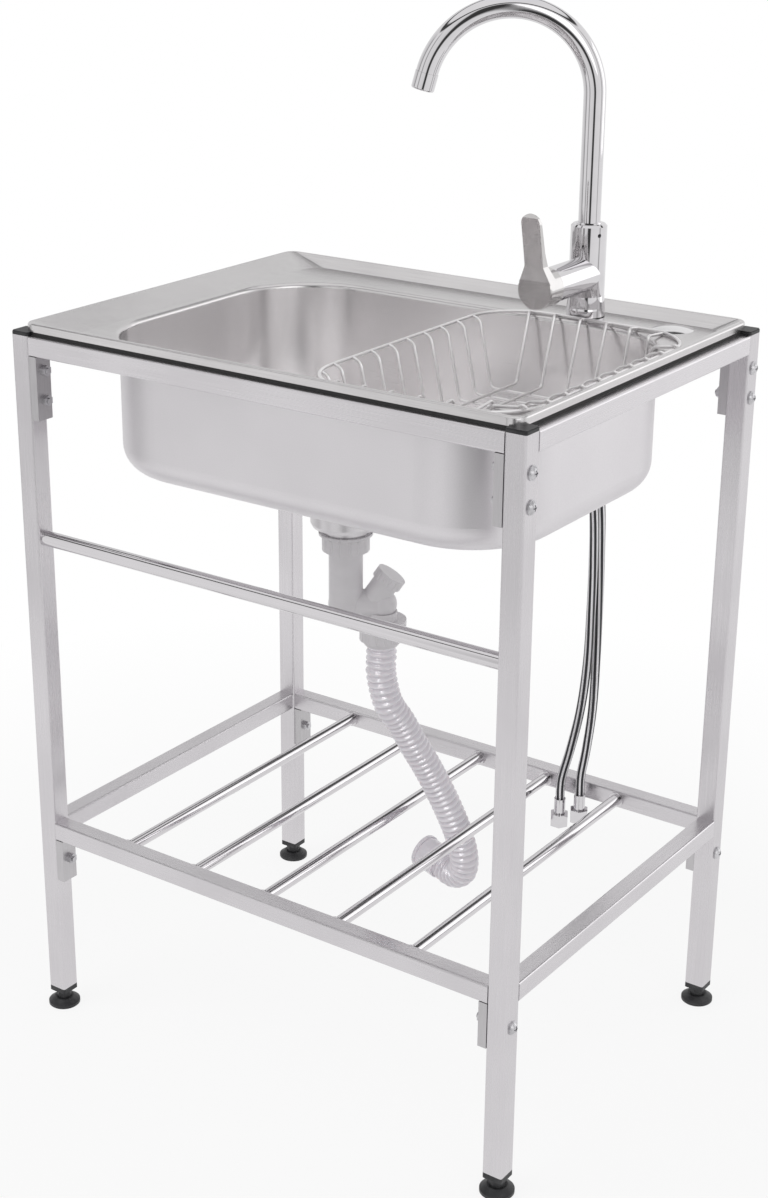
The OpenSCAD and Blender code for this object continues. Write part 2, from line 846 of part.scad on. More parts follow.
// Lift-out basket: a perforated cage with a centre post and knob
module strainer_basket() {
  foot_z = cup_low_z + cup_t;
  color("gainsboro") at_drain(foot_z) {
    difference() {
      rotate_extrude() polygon([
        [0, cage_foot_h], [cage_d / 2 - cage_foot_h, cage_foot_h],
        [cage_d / 2, 2 * cage_foot_h], [cage_top_d / 2, cage_h],
        [cage_top_d / 2, cage_h + cage_t], [cage_top_d / 2 - cage_t, cage_h + cage_t],
        [cage_d / 2 - cage_t, 2 * cage_foot_h + cage_t],
        [cage_d / 2 - cage_foot_h - cage_t, cage_foot_h + cage_t], [0, cage_foot_h + cage_t]]);
      for (j = [0:cage_rows - 1]) for (k = [0:cage_hole_count - 1])
        rotate([0, 0, (k + j * half) * 360 / cage_hole_count])
          translate([cage_d / 2 - cage_hole_d, 0, cage_foot_h + (j + 1) * cage_row_step])
            rotate([0, 90, 0]) cylinder(d = cage_hole_d, h = 2 * cage_hole_d, $fn = 24);
      for (k = [0:cage_hole_count - 1]) rotate([0, 0, k * 360 / cage_hole_count])
        translate([cage_d / 2 - 2 * cage_hole_d, 0, 0])
          cylinder(d = cage_hole_d, h = 2 * cage_foot_h, $fn = 24);
    }
    ring(cage_foot_d, cage_foot_d - 2 * cage_foot_h, cage_foot_h + cage_t);
    cylinder(d = post_d, h = post_h);
    translate([0, 0, post_h - knob_h]) cylinder(d1 = post_d, d2 = knob_d, h = knob_h);
  }
}

module drain_gasket() color("black")
  at_drain(bowl_z - dish_h - sheet - drain_gasket_t)
    ring(drain_gasket_d, cup_d + 2 * fit_gap, drain_gasket_t);

module lock_nut() {
  color("silver") at_drain(bowl_z - dish_h - sheet - drain_gasket_t - lock_nut_h) difference() {
    ring(lock_nut_d, cup_d + 2 * thread_gap, lock_nut_h);
    for (k = [0:lug_count - 1]) rotate([0, 0, k * 360 / lug_count])
      translate([lock_nut_d / 2 - lock_lug_w / 2, -lock_lug_w / 2, -cut])
        cube([lock_lug_w, lock_lug_w, lock_lug_h + cut]);
  }
}

module slip_nut() {
  h = collar_low_z - slip_low_z - fit_gap;
  lip = neck_low_z - thread_gap - tail_flange_h - fit_gap - slip_low_z;
  color("gray") at_drain(slip_low_z) difference() {
    union() {
      cylinder(d = slip_nut_d, h = h);
      translate([0, 0, h - slip_flare_h])
        cylinder(d1 = slip_nut_d, d2 = slip_flare_d, h = slip_flare_h * half);
      translate([0, 0, h - slip_flare_h * half])
        cylinder(d = slip_flare_d, h = slip_flare_h * half);
    }
    translate([0, 0, -cut]) cylinder(d = tail_d + 2 * fit_gap, h = h + 2 * cut);
    translate([0, 0, lip]) cylinder(d = neck_d + 2 * thread_gap, h = h);
    flutes(slip_nut_d, h, rib_cut_count);
  }
}

// The waste fitting lies in one upright plane: local X runs from its inlet to its outlet
module at_wye(z) at_drain(z) rotate([0, 0, wye_turn]) children();

// Its bent path, drawn once outside and once inside
module wye_solid(grow) {
  run = tail_d - 2 * grow;
  link = link_d - 2 * grow;
  out = outlet_d - 2 * grow;
  over = grow > 0 ? cut : 0;
  low = outlet_nut_low_z + outlet_neck_h - over;
  translate([0, 0, elbow_z]) {
    cylinder(d = run, h = neck_low_z - thread_gap - elbow_z + over);
    sphere(d = run + elbow_over);
    rotate([0, 90, 0]) cylinder(d = link, h = wye_reach);
    translate([wye_reach, 0, 0]) sphere(d = link + elbow_over);
    translate([branch_from, 0, 0]) rotate([0, branch_tilt, 0])
      cylinder(d = branch_d - 2 * grow, h = branch_l + over);
  }
  translate([wye_reach, 0, low]) cylinder(d = out, h = elbow_z - link_d * half * half - low);
}

module drain_wye() {
  color("gray") at_wye(0) difference() {
    union() {
      wye_solid(0);
      translate([0, 0, neck_low_z - thread_gap - tail_flange_h])
        cylinder(d = tail_flange_d, h = tail_flange_h);
    }
    wye_solid(tail_wall);
  }
}

module branch_cap() {
  color("gray") at_wye(elbow_z) translate([branch_from, 0, 0]) rotate([0, branch_tilt, 0])
    translate([0, 0, branch_l + fit_gap + branch_cap_t - branch_cap_l]) difference() {
      cylinder(d = branch_cap_d, h = branch_cap_l);
      translate([0, 0, -cut])
        cylinder(d = branch_d + 2 * thread_gap, h = branch_cap_l - branch_cap_t + cut);
      flutes(branch_cap_d, branch_cap_l - branch_cap_t, rib_cut_count);
    }
}

module outlet_nut() {
  h = outlet_nut_top_z - outlet_nut_low_z;
  color("gray") translate([outlet_x, outlet_y, outlet_nut_low_z]) difference() {
    union() {
      cylinder(d = outlet_neck_d, h = outlet_neck_h);
      difference() {
        translate([0, 0, outlet_neck_h]) cylinder(d = outlet_body_d, h = h - outlet_neck_h);
        flutes(outlet_body_d, h, rib_cut_count);
      }
      translate([0, 0, h - outlet_flange_h]) cylinder(d = outlet_flange_d, h = outlet_flange_h);
    }
    translate([0, 0, -cut]) cylinder(d = hose_bore_d, h = outlet_neck_h + 2 * cut);
    translate([0, 0, outlet_neck_h - thread_gap])
      cylinder(d = outlet_d + 2 * thread_gap, h = h);
  }
}

// Ribbed hose with its bore: two outer rings for each rib, smooth inside
module drain_hose() {
  n = hose_side_count;
  side = [-cos(hose_side_turn), -sin(hose_side_turn), 0];
  last = len(drain_route) - 1;
  outs = 2 * hose_ribs + 2;
  ins = hose_bore_rings;
  high = hose_d / 2;
  low = high - hose_rib_in;
  rib_ts = [for (k = [0:hose_ribs - 1]) each [
    [(k + rib_open_share) / hose_ribs * last, k % 2 == 0 ? high : low],
    [(k + 1 - rib_open_share * half) / hose_ribs * last, k % 2 == 0 ? high : low]]];
  outer = concat([[0, high]], rib_ts, [[last, low]]);
  points = concat(
    [for (o = outer) each loop_points(drain_route, o[0], o[1], n, side)],
    [for (k = [0:ins - 1])
      each loop_points(drain_route, k / (ins - 1) * last, hose_bore_d / 2, n, side)]);
  a = outs * n;
  z = (outs - 1) * n;
  y = a + (ins - 1) * n;
  skin = band(0, n, outs);
  bore = [for (f = band(a, n, ins)) [f[2], f[1], f[0]]];
  near = [for (k = [0:n - 1]) let (j = (k + 1) % n) each [[j, k, a + k], [j, a + k, a + j]]];
  far = [for (k = [0:n - 1]) let (j = (k + 1) % n)
    each [[z + k, z + j, y + j], [z + k, y + j, y + k]]];
  color("whitesmoke") polyhedron(points, concat(skin, bore, near, far));
}

// Turn a piece to follow the end of a route
module at_end(r) {
  h = heading(r, len(r) - 1);
  translate(r[len(r) - 1]) rotate([0, acos(h[2]), atan2(h[1], h[0])]) children();
}

module drain_cuff() {
  color("whitesmoke") at_end(drain_route) difference() {
    union() {
      translate([0, 0, -cuff_over]) cylinder(d = cuff_d, h = cuff_over + cuff_stick_out);
      translate([0, 0, cuff_stick_out - cuff_lip_l]) cylinder(d = cuff_lip_d, h = cuff_lip_l);
    }
    translate([0, 0, -cuff_over - cut])
      cylinder(d = hose_d + 2 * fit_gap, h = cuff_over + cut);
    translate([0, 0, -cut]) cylinder(d = hose_bore_d, h = cuff_stick_out + 2 * cut);
  }
}

// Pieces on the tap's upright axis
module at_tap(z) translate([tap_x, tap_y, z]) children();

module tap_seal() color("black") at_tap(deck_z)
  ring(base_d - seal_t, shank_d + 2 * fit_gap, seal_t);

module tap_base_ring() {
  color("silver") at_tap(base_z) difference() {
    union() {
      cylinder(d = base_d, h = base_h - column_edge);
      translate([0, 0, base_h - column_edge])
        cylinder(d1 = base_d, d2 = flare_d, h = column_edge);
    }
    translate([0, 0, -cut]) cylinder(d = shank_d + 2 * fit_gap, h = base_h + 2 * cut);
  }
}

// Lay a piece along the cartridge housing, its local Z towards the front
module along_housing() translate([tap_x, tap_y, housing_z]) rotate([90, 0, 0]) children();

module tap_body() {
  color("silver") difference() {
    union() {
      at_tap(body_z) cylinder(d1 = flare_d, d2 = column_d, h = flare_h);
      at_tap(body_z) cylinder(d = column_d, h = column_top_z - body_z - column_edge);
      at_tap(column_top_z - column_edge)
        cylinder(d1 = column_d, d2 = column_d - 2 * column_edge, h = column_edge);
      along_housing() cylinder(d = housing_d, h = housing_l - housing_edge);
      along_housing() translate([0, 0, housing_l - housing_edge])
        cylinder(d1 = housing_d, d2 = housing_d - housing_edge, h = housing_edge);
    }
    at_tap(bore_floor_z) cylinder(d = spout_d + 2 * running_gap, h = column_h);
    at_tap(housing_z) cylinder(d = waterway_d, h = column_h);
    at_tap(body_z - cut) cylinder(d = shank_d + 2 * thread_gap, h = shank_up + cut);
    at_tap(body_z) for (s = sides) translate([0, s * hose_step, 0])
      cylinder(d = nipple_d + 2 * thread_gap, h = housing_z - body_z);
    along_housing() translate([0, 0, housing_l - cartridge_l - ring_thread_l])
      cylinder(d = cartridge_d + 2 * thread_gap, h = cartridge_l + ring_thread_l + cut);
    along_housing() translate([0, 0, housing_l - ring_thread_l])
      cylinder(d = ring_thread_d + 2 * thread_gap, h = ring_thread_l + cut);
    at_tap(column_top_z - groove_drop) rotate([0, 90, grub_turn])
      cylinder(d = grub_d + 2 * thread_gap, h = column_d, $fn = 24);
  }
}

module tap_shank() color("goldenrod") at_tap(body_z + shank_up - thread_gap
                                             - base_h - shank_low)
  ring(shank_d, shank_bore_d, shank_low + base_h);

module shank_washer() color("black")
  at_tap(deck_z - sheet - shank_washer_t) ring(shank_washer_d, shank_d + 2 * fit_gap,
                                              shank_washer_t);

module shank_nut() {
  color("goldenrod") at_tap(deck_z - sheet - shank_washer_t - shank_nut_h) difference() {
    hexagon(shank_nut_af, shank_nut_h);
    translate([0, 0, -cut]) cylinder(d = shank_d + 2 * thread_gap, h = shank_nut_h + 2 * cut);
  }
}

// The pipe: straight through the column, then over the arch to its open tip
module spout() {
  foot_z = bore_floor_z + spout_seat_gap;
  bore = spout_d - 2 * spout_wall;
  color("silver") at_tap(0) rotate([0, 0, spout_turn]) {
    difference() {
      translate([0, 0, foot_z]) cylinder(d = spout_d, h = arch_z - foot_z);
      translate([0, 0, foot_z - cut]) cylinder(d = bore, h = arch_z - foot_z + 2 * cut);
      translate([0, 0, column_top_z - groove_drop - groove_h / 2])
        ring(spout_d + 2 * cut, spout_d - 2 * groove_depth, groove_h);
    }
    translate([0, 0, column_top_z + running_gap]) difference() {
      cylinder(d1 = collar_d, d2 = collar_d - collar_t, h = collar_t);
      translate([0, 0, -cut]) cylinder(d = spout_d - spout_wall, h = collar_t + 2 * cut);
    }
    translate([arch_r, 0, arch_z]) rotate([90, 0, 180])
      rotate_extrude(angle = arch_sweep) translate([arch_r, 0]) difference() {
        circle(d = spout_d, $fn = 32);
        circle(d = bore, $fn = 32);
      }
  }
}

// The end of the arch, local Z along the water
module at_tip()
  translate([arch_r - arch_r * cos(arch_sweep), 0, arch_z + arch_r * sin(arch_sweep)])
    rotate([0, arch_sweep, 0]) children();

module spout_screw() {
  reach = column_d / 2 - spout_d / 2;
  color("dimgray") at_tap(column_top_z - groove_drop) rotate([0, 90, grub_turn])
    translate([0, 0, spout_d / 2 - groove_depth + fit_gap])
      difference() {
        cylinder(d = grub_d, h = reach - 2 * fit_gap, $fn = 24);
        translate([0, 0, reach - 2 * fit_gap - recess_h])
          hexagon(grub_d * half, recess_h + cut);
      }
}

module aerator() {
  color("silver") at_tap(0) rotate([0, 0, spout_turn]) at_tip()
    translate([0, 0, running_gap]) {
      difference() {
        union() {
          cylinder(d = aerator_d, h = aerator_l - aerator_lip);
          translate([0, 0, aerator_l - aerator_lip])
            cylinder(d1 = aerator_d, d2 = aerator_d - aerator_lip, h = aerator_lip);
        }
        translate([0, 0, -cut]) cylinder(d = spout_d - 2 * spout_wall, h = aerator_l + 2 * cut);
      }
      intersection() {
        translate([0, 0, aerator_l - 2 * mesh_t]) cylinder(d = spout_d - spout_wall, h = mesh_t);
        for (a = [0, 90]) rotate([0, 0, a]) for (k = [0:mesh_count])
          translate([(k - mesh_count / 2) * mesh_pitch - mesh_bar / 2, -spout_d / 2,
                     aerator_l - 2 * mesh_t])
            cube([mesh_bar, spout_d, mesh_t]);
      }
    }
}

module cartridge() {
  color("whitesmoke") along_housing()
    translate([0, 0, housing_l - cartridge_l - ring_thread_l + thread_gap]) difference() {
      cylinder(d = cartridge_d, h = cartridge_l - thread_gap);
      translate([0, 0, pivot_at - carrier_t / 2 - housing_l + cartridge_l + ring_thread_l
                       - thread_gap - running_gap])
        cylinder(d = carrier_d + 2 * running_gap, h = cartridge_l);
      translate([0, 0, cartridge_wall]) cylinder(d = carrier_d - 2 * cartridge_wall,
                                                 h = cartridge_l);
      for (s = sides) translate([0, s * hose_step, -cut])
        cylinder(d = port_d, h = cartridge_wall + 2 * cut);
    }
}

module cartridge_carrier() {
  color("gray") along_housing() translate([0, 0, pivot_at - carrier_t / 2]) difference() {
    cylinder(d = carrier_d, h = carrier_t);
    translate([-carrier_slot_w / 2, -carrier_slot_h / 2, -cut])
      cube([carrier_slot_w, carrier_slot_h, carrier_t + 2 * cut]);
    translate([-trunnion_l / 2 - fit_gap, 0, carrier_t / 2]) rotate([0, 90, 0])
      cylinder(d = trunnion_d + 2 * running_gap, h = trunnion_l + 2 * fit_gap, $fn = 24);
  }
}

module cartridge_stem() {
  tip = housing_l - pivot_in + dome_r + skirt_gap + socket_depth;
  color("silver") along_housing() {
    translate([-stem_w / 2, -stem_w / 2, pivot_at - stem_back])
      cube([stem_w, stem_w, tip - fit_gap - pivot_at + stem_back]);
    translate([-trunnion_l / 2, 0, pivot_at]) rotate([0, 90, 0])
      cylinder(d = trunnion_d, h = trunnion_l, $fn = 24);
  }
}

module cartridge_ring() {
  color("silver") along_housing() difference() {
    union() {
      translate([0, 0, housing_l - ring_thread_l + thread_gap])
        cylinder(d = ring_thread_d, h = ring_thread_l);
      intersection() {
        translate([0, 0, pivot_at]) sphere(r = dome_r, $fn = 96);
        translate([0, 0, housing_l + running_gap]) cylinder(d = housing_d, h = dome_r);
      }
    }
    translate([0, 0, housing_l - ring_thread_l - cut]) cylinder(d = ring_hole_d,
                                                              h = dome_r + ring_thread_l);
  }
}

// Lever: a round head hollowed by a ball about the pivot, and a blade that rises from it
module lever_handle() {
  color("silver") difference() {
    union() {
      along_housing() translate([0, 0, housing_l + fit_gap]) {
        cylinder(d = lever_d, h = lever_head_l - lever_edge);
        translate([0, 0, lever_head_l - lever_edge])
          cylinder(d1 = lever_d, d2 = lever_d - 2 * lever_edge, h = lever_edge);
      }
      lever_blade();
    }
    along_housing() translate([0, 0, pivot_at]) sphere(r = dome_r + skirt_gap, $fn = 96);
    along_housing() translate([-stem_w / 2 - thread_gap, -stem_w / 2 - thread_gap, pivot_at])
      cube([stem_w + 2 * thread_gap, stem_w + 2 * thread_gap,
            dome_r + skirt_gap + socket_depth]);
    translate([tap_x, tap_y - pivot_at - dome_r - skirt_gap - socket_depth * half,
               housing_z - lever_d / 2 - cut])
      cylinder(d = screw_d + 2 * thread_gap, h = lever_d / 2 + cut, $fn = 24);
  }
}

// The blade's side view, flush with the head's face, crossed with its front view, whose
// neck widens into the head
module lever_blade() {
  y1 = tap_y - housing_l - fit_gap - lever_head_l;
  up = housing_z + lever_d * half * half;
  top = housing_z + blade_h;
  waist = up + (top - up) * blade_waist_share;
  y_waist = y1 - blade_lean * blade_waist_share;
  y_tip = y1 - blade_lean;
  intersection() {
    translate([tap_x - lever_d / 2, 0, 0]) rotate([90, 0, 90]) linear_extrude(lever_d)
      polygon([[y1, housing_z], [y1 + blade_root_t, housing_z], [y1 + blade_root_t, up],
               [y_waist + blade_t, waist], [y_tip + blade_tip_t, top - blade_tip_t],
               [y_tip + blade_tip_t / 2, top], [y_tip, top - blade_tip_t],
               [y_waist, waist], [y1, up]]);
    translate([tap_x, tap_y, housing_z]) rotate([90, 0, 0]) linear_extrude(tap_y + stand_d) {
      translate([-blade_w / 2, 0]) square([blade_w, blade_h - blade_w / 2]);
      translate([0, blade_h - blade_w / 2]) circle(d = blade_w);
      polygon([[lever_d / 2 * neck_w_share, lever_d * neck_low_share],
               [blade_w / 2, lever_d * neck_top_share],
               [-blade_w / 2, lever_d * neck_top_share],
               [-lever_d / 2 * neck_w_share, lever_d * neck_low_share]]);
    }
  }
}

module lever_screw() {
  low = housing_z - lever_d / 2 + recess_h;
  color("dimgray")
    translate([tap_x, tap_y - pivot_at - dome_r - skirt_gap - socket_depth * half, low])
    difference() {
      cylinder(d = screw_d, h = housing_z - stem_w / 2 - thread_gap - low, $fn = 24);
      translate([0, 0, -cut]) hexagon(screw_d * half, recess_h + cut);
    }
}

// A plain round hose along its route
module cord(r, d) {
  n = braid_sides;
  last = len(r) - 1;
  points = [for (k = [0:braid_rings - 1])
    each loop_points(r, k / (braid_rings - 1) * last, d / 2, n, [0, 1, 0])];
  polyhedron(points, concat(band(0, n, braid_rings), end_faces(n, braid_rings)));
}

module hot_hose() color("silver") cord(hot_route, braid_d);
module cold_hose() color("silver") cord(cold_route, braid_d);

module hose_sleeves() {
  color("silver") for (r = [hot_route, cold_route]) {
    translate(r[0]) {
      cylinder(d = sleeve_d, h = sleeve_h);
      cylinder(d = nipple_d, h = body_z + nipple_h - r[0][2]);
    }
    translate(r[len(r) - 1] - [0, 0, sleeve_h]) {
      cylinder(d = low_sleeve_d, h = sleeve_h);
      translate([0, 0, -tail_piece_h]) ring(tail_piece_d, nipple_d, tail_piece_h);
      translate([0, 0, -tail_piece_h]) ring(union_bore_d - 2 * thread_gap, nipple_d, union_lip_h);
    }
  }
}

module union_nuts() {
  color("silver") for (r = [hot_route, cold_route])
    translate(r[len(r) - 1] - [0, 0, sleeve_h + fit_gap + union_h]) difference() {
      intersection() {
        hexagon(union_af, union_h);
        cylinder(d = union_af / cos(30) - fit_gap, h = union_h);
      }
      translate([0, 0, -cut]) cylinder(d = union_bore_d, h = union_thread_l + 2 * cut);
      translate([0, 0, union_thread_l])
        cylinder(d = union_relief_d, h = union_h - union_lip_h - union_thread_l);
      translate([0, 0, -cut]) cylinder(d = tail_piece_d + 2 * thread_gap, h = union_h + 2 * cut);
    }
}

// Reach of the basket's rim wire, or of its inner face for a wire's width, and of the
// bowl's wall, at a wire's station
function bow(c, centre_low, centre_high, r) =
  c < centre_low ? sqrt(r * r - (c - centre_low) * (c - centre_low))
  : c > centre_high ? sqrt(r * r - (c - centre_high) * (c - centre_high)) : r;

function rim_reach(c, near, far, inset, side) = let (
    low = near + basket_corner_r, high = far - basket_corner_r)
  bow(c < low ? c - side : c > high ? c + side : c, low, high, basket_corner_r - inset);
function rim_x(y, s, inset = 0, side = 0) = let (
    g = rim_reach(y, basket_front, basket_back, inset, side))
  s > 0 ? basket_right - basket_corner_r + g : basket_left + basket_corner_r - g;
function rim_y(x, s, inset = 0, side = 0) = let (
    g = rim_reach(x, basket_left, basket_right, inset, side))
  s > 0 ? basket_back - basket_corner_r + g : basket_front + basket_corner_r - g;
function wall_x(y) = bowl_right - bowl_corner_r + bow(y, bowl_front + bowl_corner_r,
    bowl_back - bowl_corner_r, bowl_corner_r);
function wall_y(x, s) = let (g = bow(x, bowl_left + bowl_corner_r,
    bowl_right - bowl_corner_r, bowl_corner_r))
  s > 0 ? bowl_back - bowl_corner_r + g : bowl_front + bowl_corner_r - g;

function unit(v) = v / norm(v);

// Ease each inner corner of a wire's path into a bend
function eased(p, r) = [for (i = [0:len(p) - 1])
  if (i == 0 || i == len(p) - 1) p[i]
  else let (a = p[i] + unit(p[i - 1] - p[i]) * r, b = p[i] + unit(p[i + 1] - p[i]) * r)
    each [for (t = [0:half * half:1]) (1 - t) * (1 - t) * a + 2 * t * (1 - t) * p[i] + t * t * b]
];

// Mitred rings of a wire bent in one plane, whose normal is "flat"
function wire_rings(p, flat, d, closed = false) = let (n = len(p)) [
  for (i = [0:n - 1])
    let (a = i > 0 ? unit(p[i] - p[i - 1]) : closed ? unit(p[0] - p[n - 1]) : unit(p[1] - p[0]),
         b = i < n - 1 ? unit(p[i + 1] - p[i]) : closed ? unit(p[0] - p[i]) : a,
         h = unit(a + b), w = cross(h, flat) / (h * a))
    for (k = [0:wire_sides - 1])
      let (t = (k + half) * 360 / wire_sides)
      p[i] + d / 2 * (cos(t) * flat + sin(t) * w)
];

module wire(p, flat, d = wire_d) {
  polyhedron(wire_rings(p, flat, d),
             concat(band(0, wire_sides, len(p)), end_faces(wire_sides, len(p))));
}

// A wire closed on itself
module wire_hoop(p, flat, d) {
  n = wire_sides;
  last = (len(p) - 1) * n;
  seam = [for (k = [0:n - 1]) let (a = last + k, b = last + (k + 1) % n, c = (k + 1) % n)
    each [[a, b, c], [a, c, k]]];
  polyhedron(wire_rings(p, flat, d, true), concat(band(0, n, len(p)), seam));
}

module wire_basket() {
  z0 = rim_wire_z;
  z1 = rim_wire_z - wire_dip;
  f0 = basket_floor_z;
  f1 = basket_floor_z + wire_flat + weld_gap;
  w = basket_right - basket_left;
  d = basket_back - basket_front;
  mid = [(basket_left + basket_right) / 2, (basket_front + basket_back) / 2, z0];
  color("silver") {
    wire_hoop([for (q = round_points(w, d, basket_corner_r, rim_steps))
      mid + [q[0], q[1], 0]], [0, 0, 1], rim_wire_d);
    // Cross wires end on the right in a hook over the rim wire
    for (k = [0:cross_count - 1]) {
      y = cross_first_y + k * wire_pitch;
      r = (rim_x(y, 1) - rim_x(y, 1, rim_inset, wire_d / 2) + wire_flat / 2) / cos(hook_step / 2);
      hook = [for (a = [180 - hook_step:-hook_step:hook_step])
        [rim_x(y, 1) + r * cos(a), y, z0 + r * sin(a)]];
      path = eased([[rim_x(y, -1, rim_inset, wire_d / 2), y, z0],
                    [rim_x(y, -1) + shoulder_left, y, z1 - shoulder_dip],
                    [basket_floor_left, y, f0],
                    [min(basket_floor_right, wall_x(y) - 2 * shoulder_in), y, f0],
                    [wall_x(y) - shoulder_in, y, z1 - shoulder_drop], hook[0]], cross_bend);
      wire(concat(path, [for (i = [1:len(hook) - 1]) hook[i]]), [0, 1, 0]);
    }
    // Long wires lie on the cross wires and end against the rim wire
    for (k = [0:long_count - 1]) {
      x = long_first_x + k * wire_pitch;
      y0 = wall_y(x, -1) + shoulder_in;
      y1 = wall_y(x, 1) - shoulder_in;
      wire(eased([[x, rim_y(x, -1, rim_inset, wire_d / 2), z0], [x, y0, z1 + shoulder_rise],
                  [x, max(basket_floor_front, y0 + shoulder_in), f1],
                  [x, min(basket_floor_back, y1 - shoulder_in), f1],
                  [x, y1, z1 + shoulder_rise],
                  [x, rim_y(x, 1, rim_inset, wire_d / 2), z0]], wire_bend),
           [1, 0, 0]);
    }
  }
}

front_left_leg();
front_right_leg();
back_left_leg();
back_right_leg();
leg_caps();
front_top_rail();
back_top_rail();
left_top_rail();
right_top_rail();
top_brackets();
shelf_brackets();
frame_bolts();
frame_washers();
frame_nuts();
front_crossbar();
front_shelf_rail();
back_shelf_rail();
left_shelf_rail();
right_shelf_rail();
shelf_bars();
foot_inserts();
front_left_foot();
front_right_foot();
back_left_foot();
back_right_foot();
sink_bowl();
sink_gasket();
hole_cover();
cover_nut();
strainer_body();
strainer_basket();
drain_gasket();
lock_nut();
slip_nut();
drain_wye();
branch_cap();
outlet_nut();
drain_hose();
drain_cuff();
tap_seal();
tap_base_ring();
tap_body();
tap_shank();
shank_washer();
shank_nut();
spout();
spout_screw();
aerator();
cartridge();
cartridge_carrier();
cartridge_stem();
cartridge_ring();
lever_handle();
lever_screw();
hot_hose();
cold_hose();
hose_sleeves();
union_nuts();
wire_basket();
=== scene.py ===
from math import cos, pi, radians, sin

import bmesh
import bpy
from mathutils import Matrix, Vector


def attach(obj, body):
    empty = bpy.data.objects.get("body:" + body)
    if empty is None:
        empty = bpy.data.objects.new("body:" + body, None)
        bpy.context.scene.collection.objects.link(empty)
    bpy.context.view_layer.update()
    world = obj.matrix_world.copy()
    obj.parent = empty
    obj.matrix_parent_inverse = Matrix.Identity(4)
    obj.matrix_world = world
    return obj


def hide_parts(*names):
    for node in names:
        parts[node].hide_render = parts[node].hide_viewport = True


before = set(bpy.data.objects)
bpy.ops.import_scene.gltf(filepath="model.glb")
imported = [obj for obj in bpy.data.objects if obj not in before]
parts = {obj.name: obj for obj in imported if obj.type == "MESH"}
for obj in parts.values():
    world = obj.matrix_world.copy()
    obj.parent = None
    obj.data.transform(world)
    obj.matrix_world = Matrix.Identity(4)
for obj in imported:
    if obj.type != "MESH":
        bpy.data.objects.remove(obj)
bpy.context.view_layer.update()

# Camera: a normal lens about 2.1 m away, to the unit's front right and a little above
# the rim, looking down at the bowl.
aim, distance = Vector((-0.0286, -0.0249, 0.4942)), 2.1471
view_turn, view_down, view_roll = radians(35.884), radians(21.217), radians(0.107)
camera_data = bpy.data.cameras.new("camera")
camera_data.sensor_width = 36
camera_data.lens = 61.48
camera_data.shift_x = 0.0294
camera_data.shift_y = -0.0023
towards_camera = Vector((sin(view_turn) * cos(view_down), -cos(view_turn) * cos(view_down),
                         sin(view_down)))
camera = bpy.data.objects.new("camera", camera_data)
camera.location = aim + distance * towards_camera
camera.rotation_euler = (towards_camera.to_track_quat("Z", "Y")
                         @ Matrix.Rotation(view_roll, 3, "Z").to_quaternion()).to_euler()
bpy.context.scene.collection.objects.link(camera)
bpy.context.scene.camera = camera


# Drain hose: a white blow-moulded ribbed hose, pressed on the outlet nut's spigot. It hangs
# down through the shelf and curls up a little into the smooth cuff at its free end.
hose_route = [(-0.005, 0.002, 0.438), (-0.005, 0.002, 0.420), (-0.005, 0.002, 0.402),
              (0.000, 0.008, 0.368), (0.007, 0.023, 0.341), (0.015, 0.036, 0.312),
              (0.023, 0.050, 0.283), (0.032, 0.063, 0.251), (0.041, 0.073, 0.220),
              (0.048, 0.082, 0.189), (0.051, 0.088, 0.161), (0.045, 0.094, 0.139),
              (0.028, 0.101, 0.128), (0.006, 0.109, 0.131), (-0.016, 0.113, 0.135)]
hose_length, hose_ribs = 0.3923, 55
crest_radius, groove_radius, hose_bore_radius = 0.0165, 0.0138, 0.0125
# Where the first rib's crest lies, counted in ribs from the hose's start
first_crest = 0.3


def along(route, t):
    """A smooth curve through a route's points, t from 0 to its last index."""
    points = [Vector(p) for p in route]
    i = min(int(t), len(points) - 2)
    f = t - i
    b, c = points[i], points[i + 1]
    a = points[i - 1] if i > 0 else 2 * b - c
    d = points[i + 2] if i < len(points) - 2 else 2 * c - b
    return (2 * b + (c - a) * f + (2 * a - 5 * b + 4 * c - d) * f * f
            + (3 * b - a - 3 * c + d) * f ** 3) / 2


def even_places(route, count):
    """Places along a route that lie equally far apart, first and last included."""
    samples = 2000
    fine = [(len(route) - 1) * k / samples for k in range(samples + 1)]
    run = [0.0]
    for a, b in zip(fine, fine[1:]):
        run.append(run[-1] + (along(route, b) - along(route, a)).length)
    places, i = [], 0
    for k in range(count + 1):
        wanted = run[-1] * k / count
        while i < samples - 1 and run[i + 1] < wanted:
            i += 1
        step = fine[i + 1] - fine[i]
        places.append(fine[i] + step * (wanted - run[i]) / (run[i + 1] - run[i]))
    return places


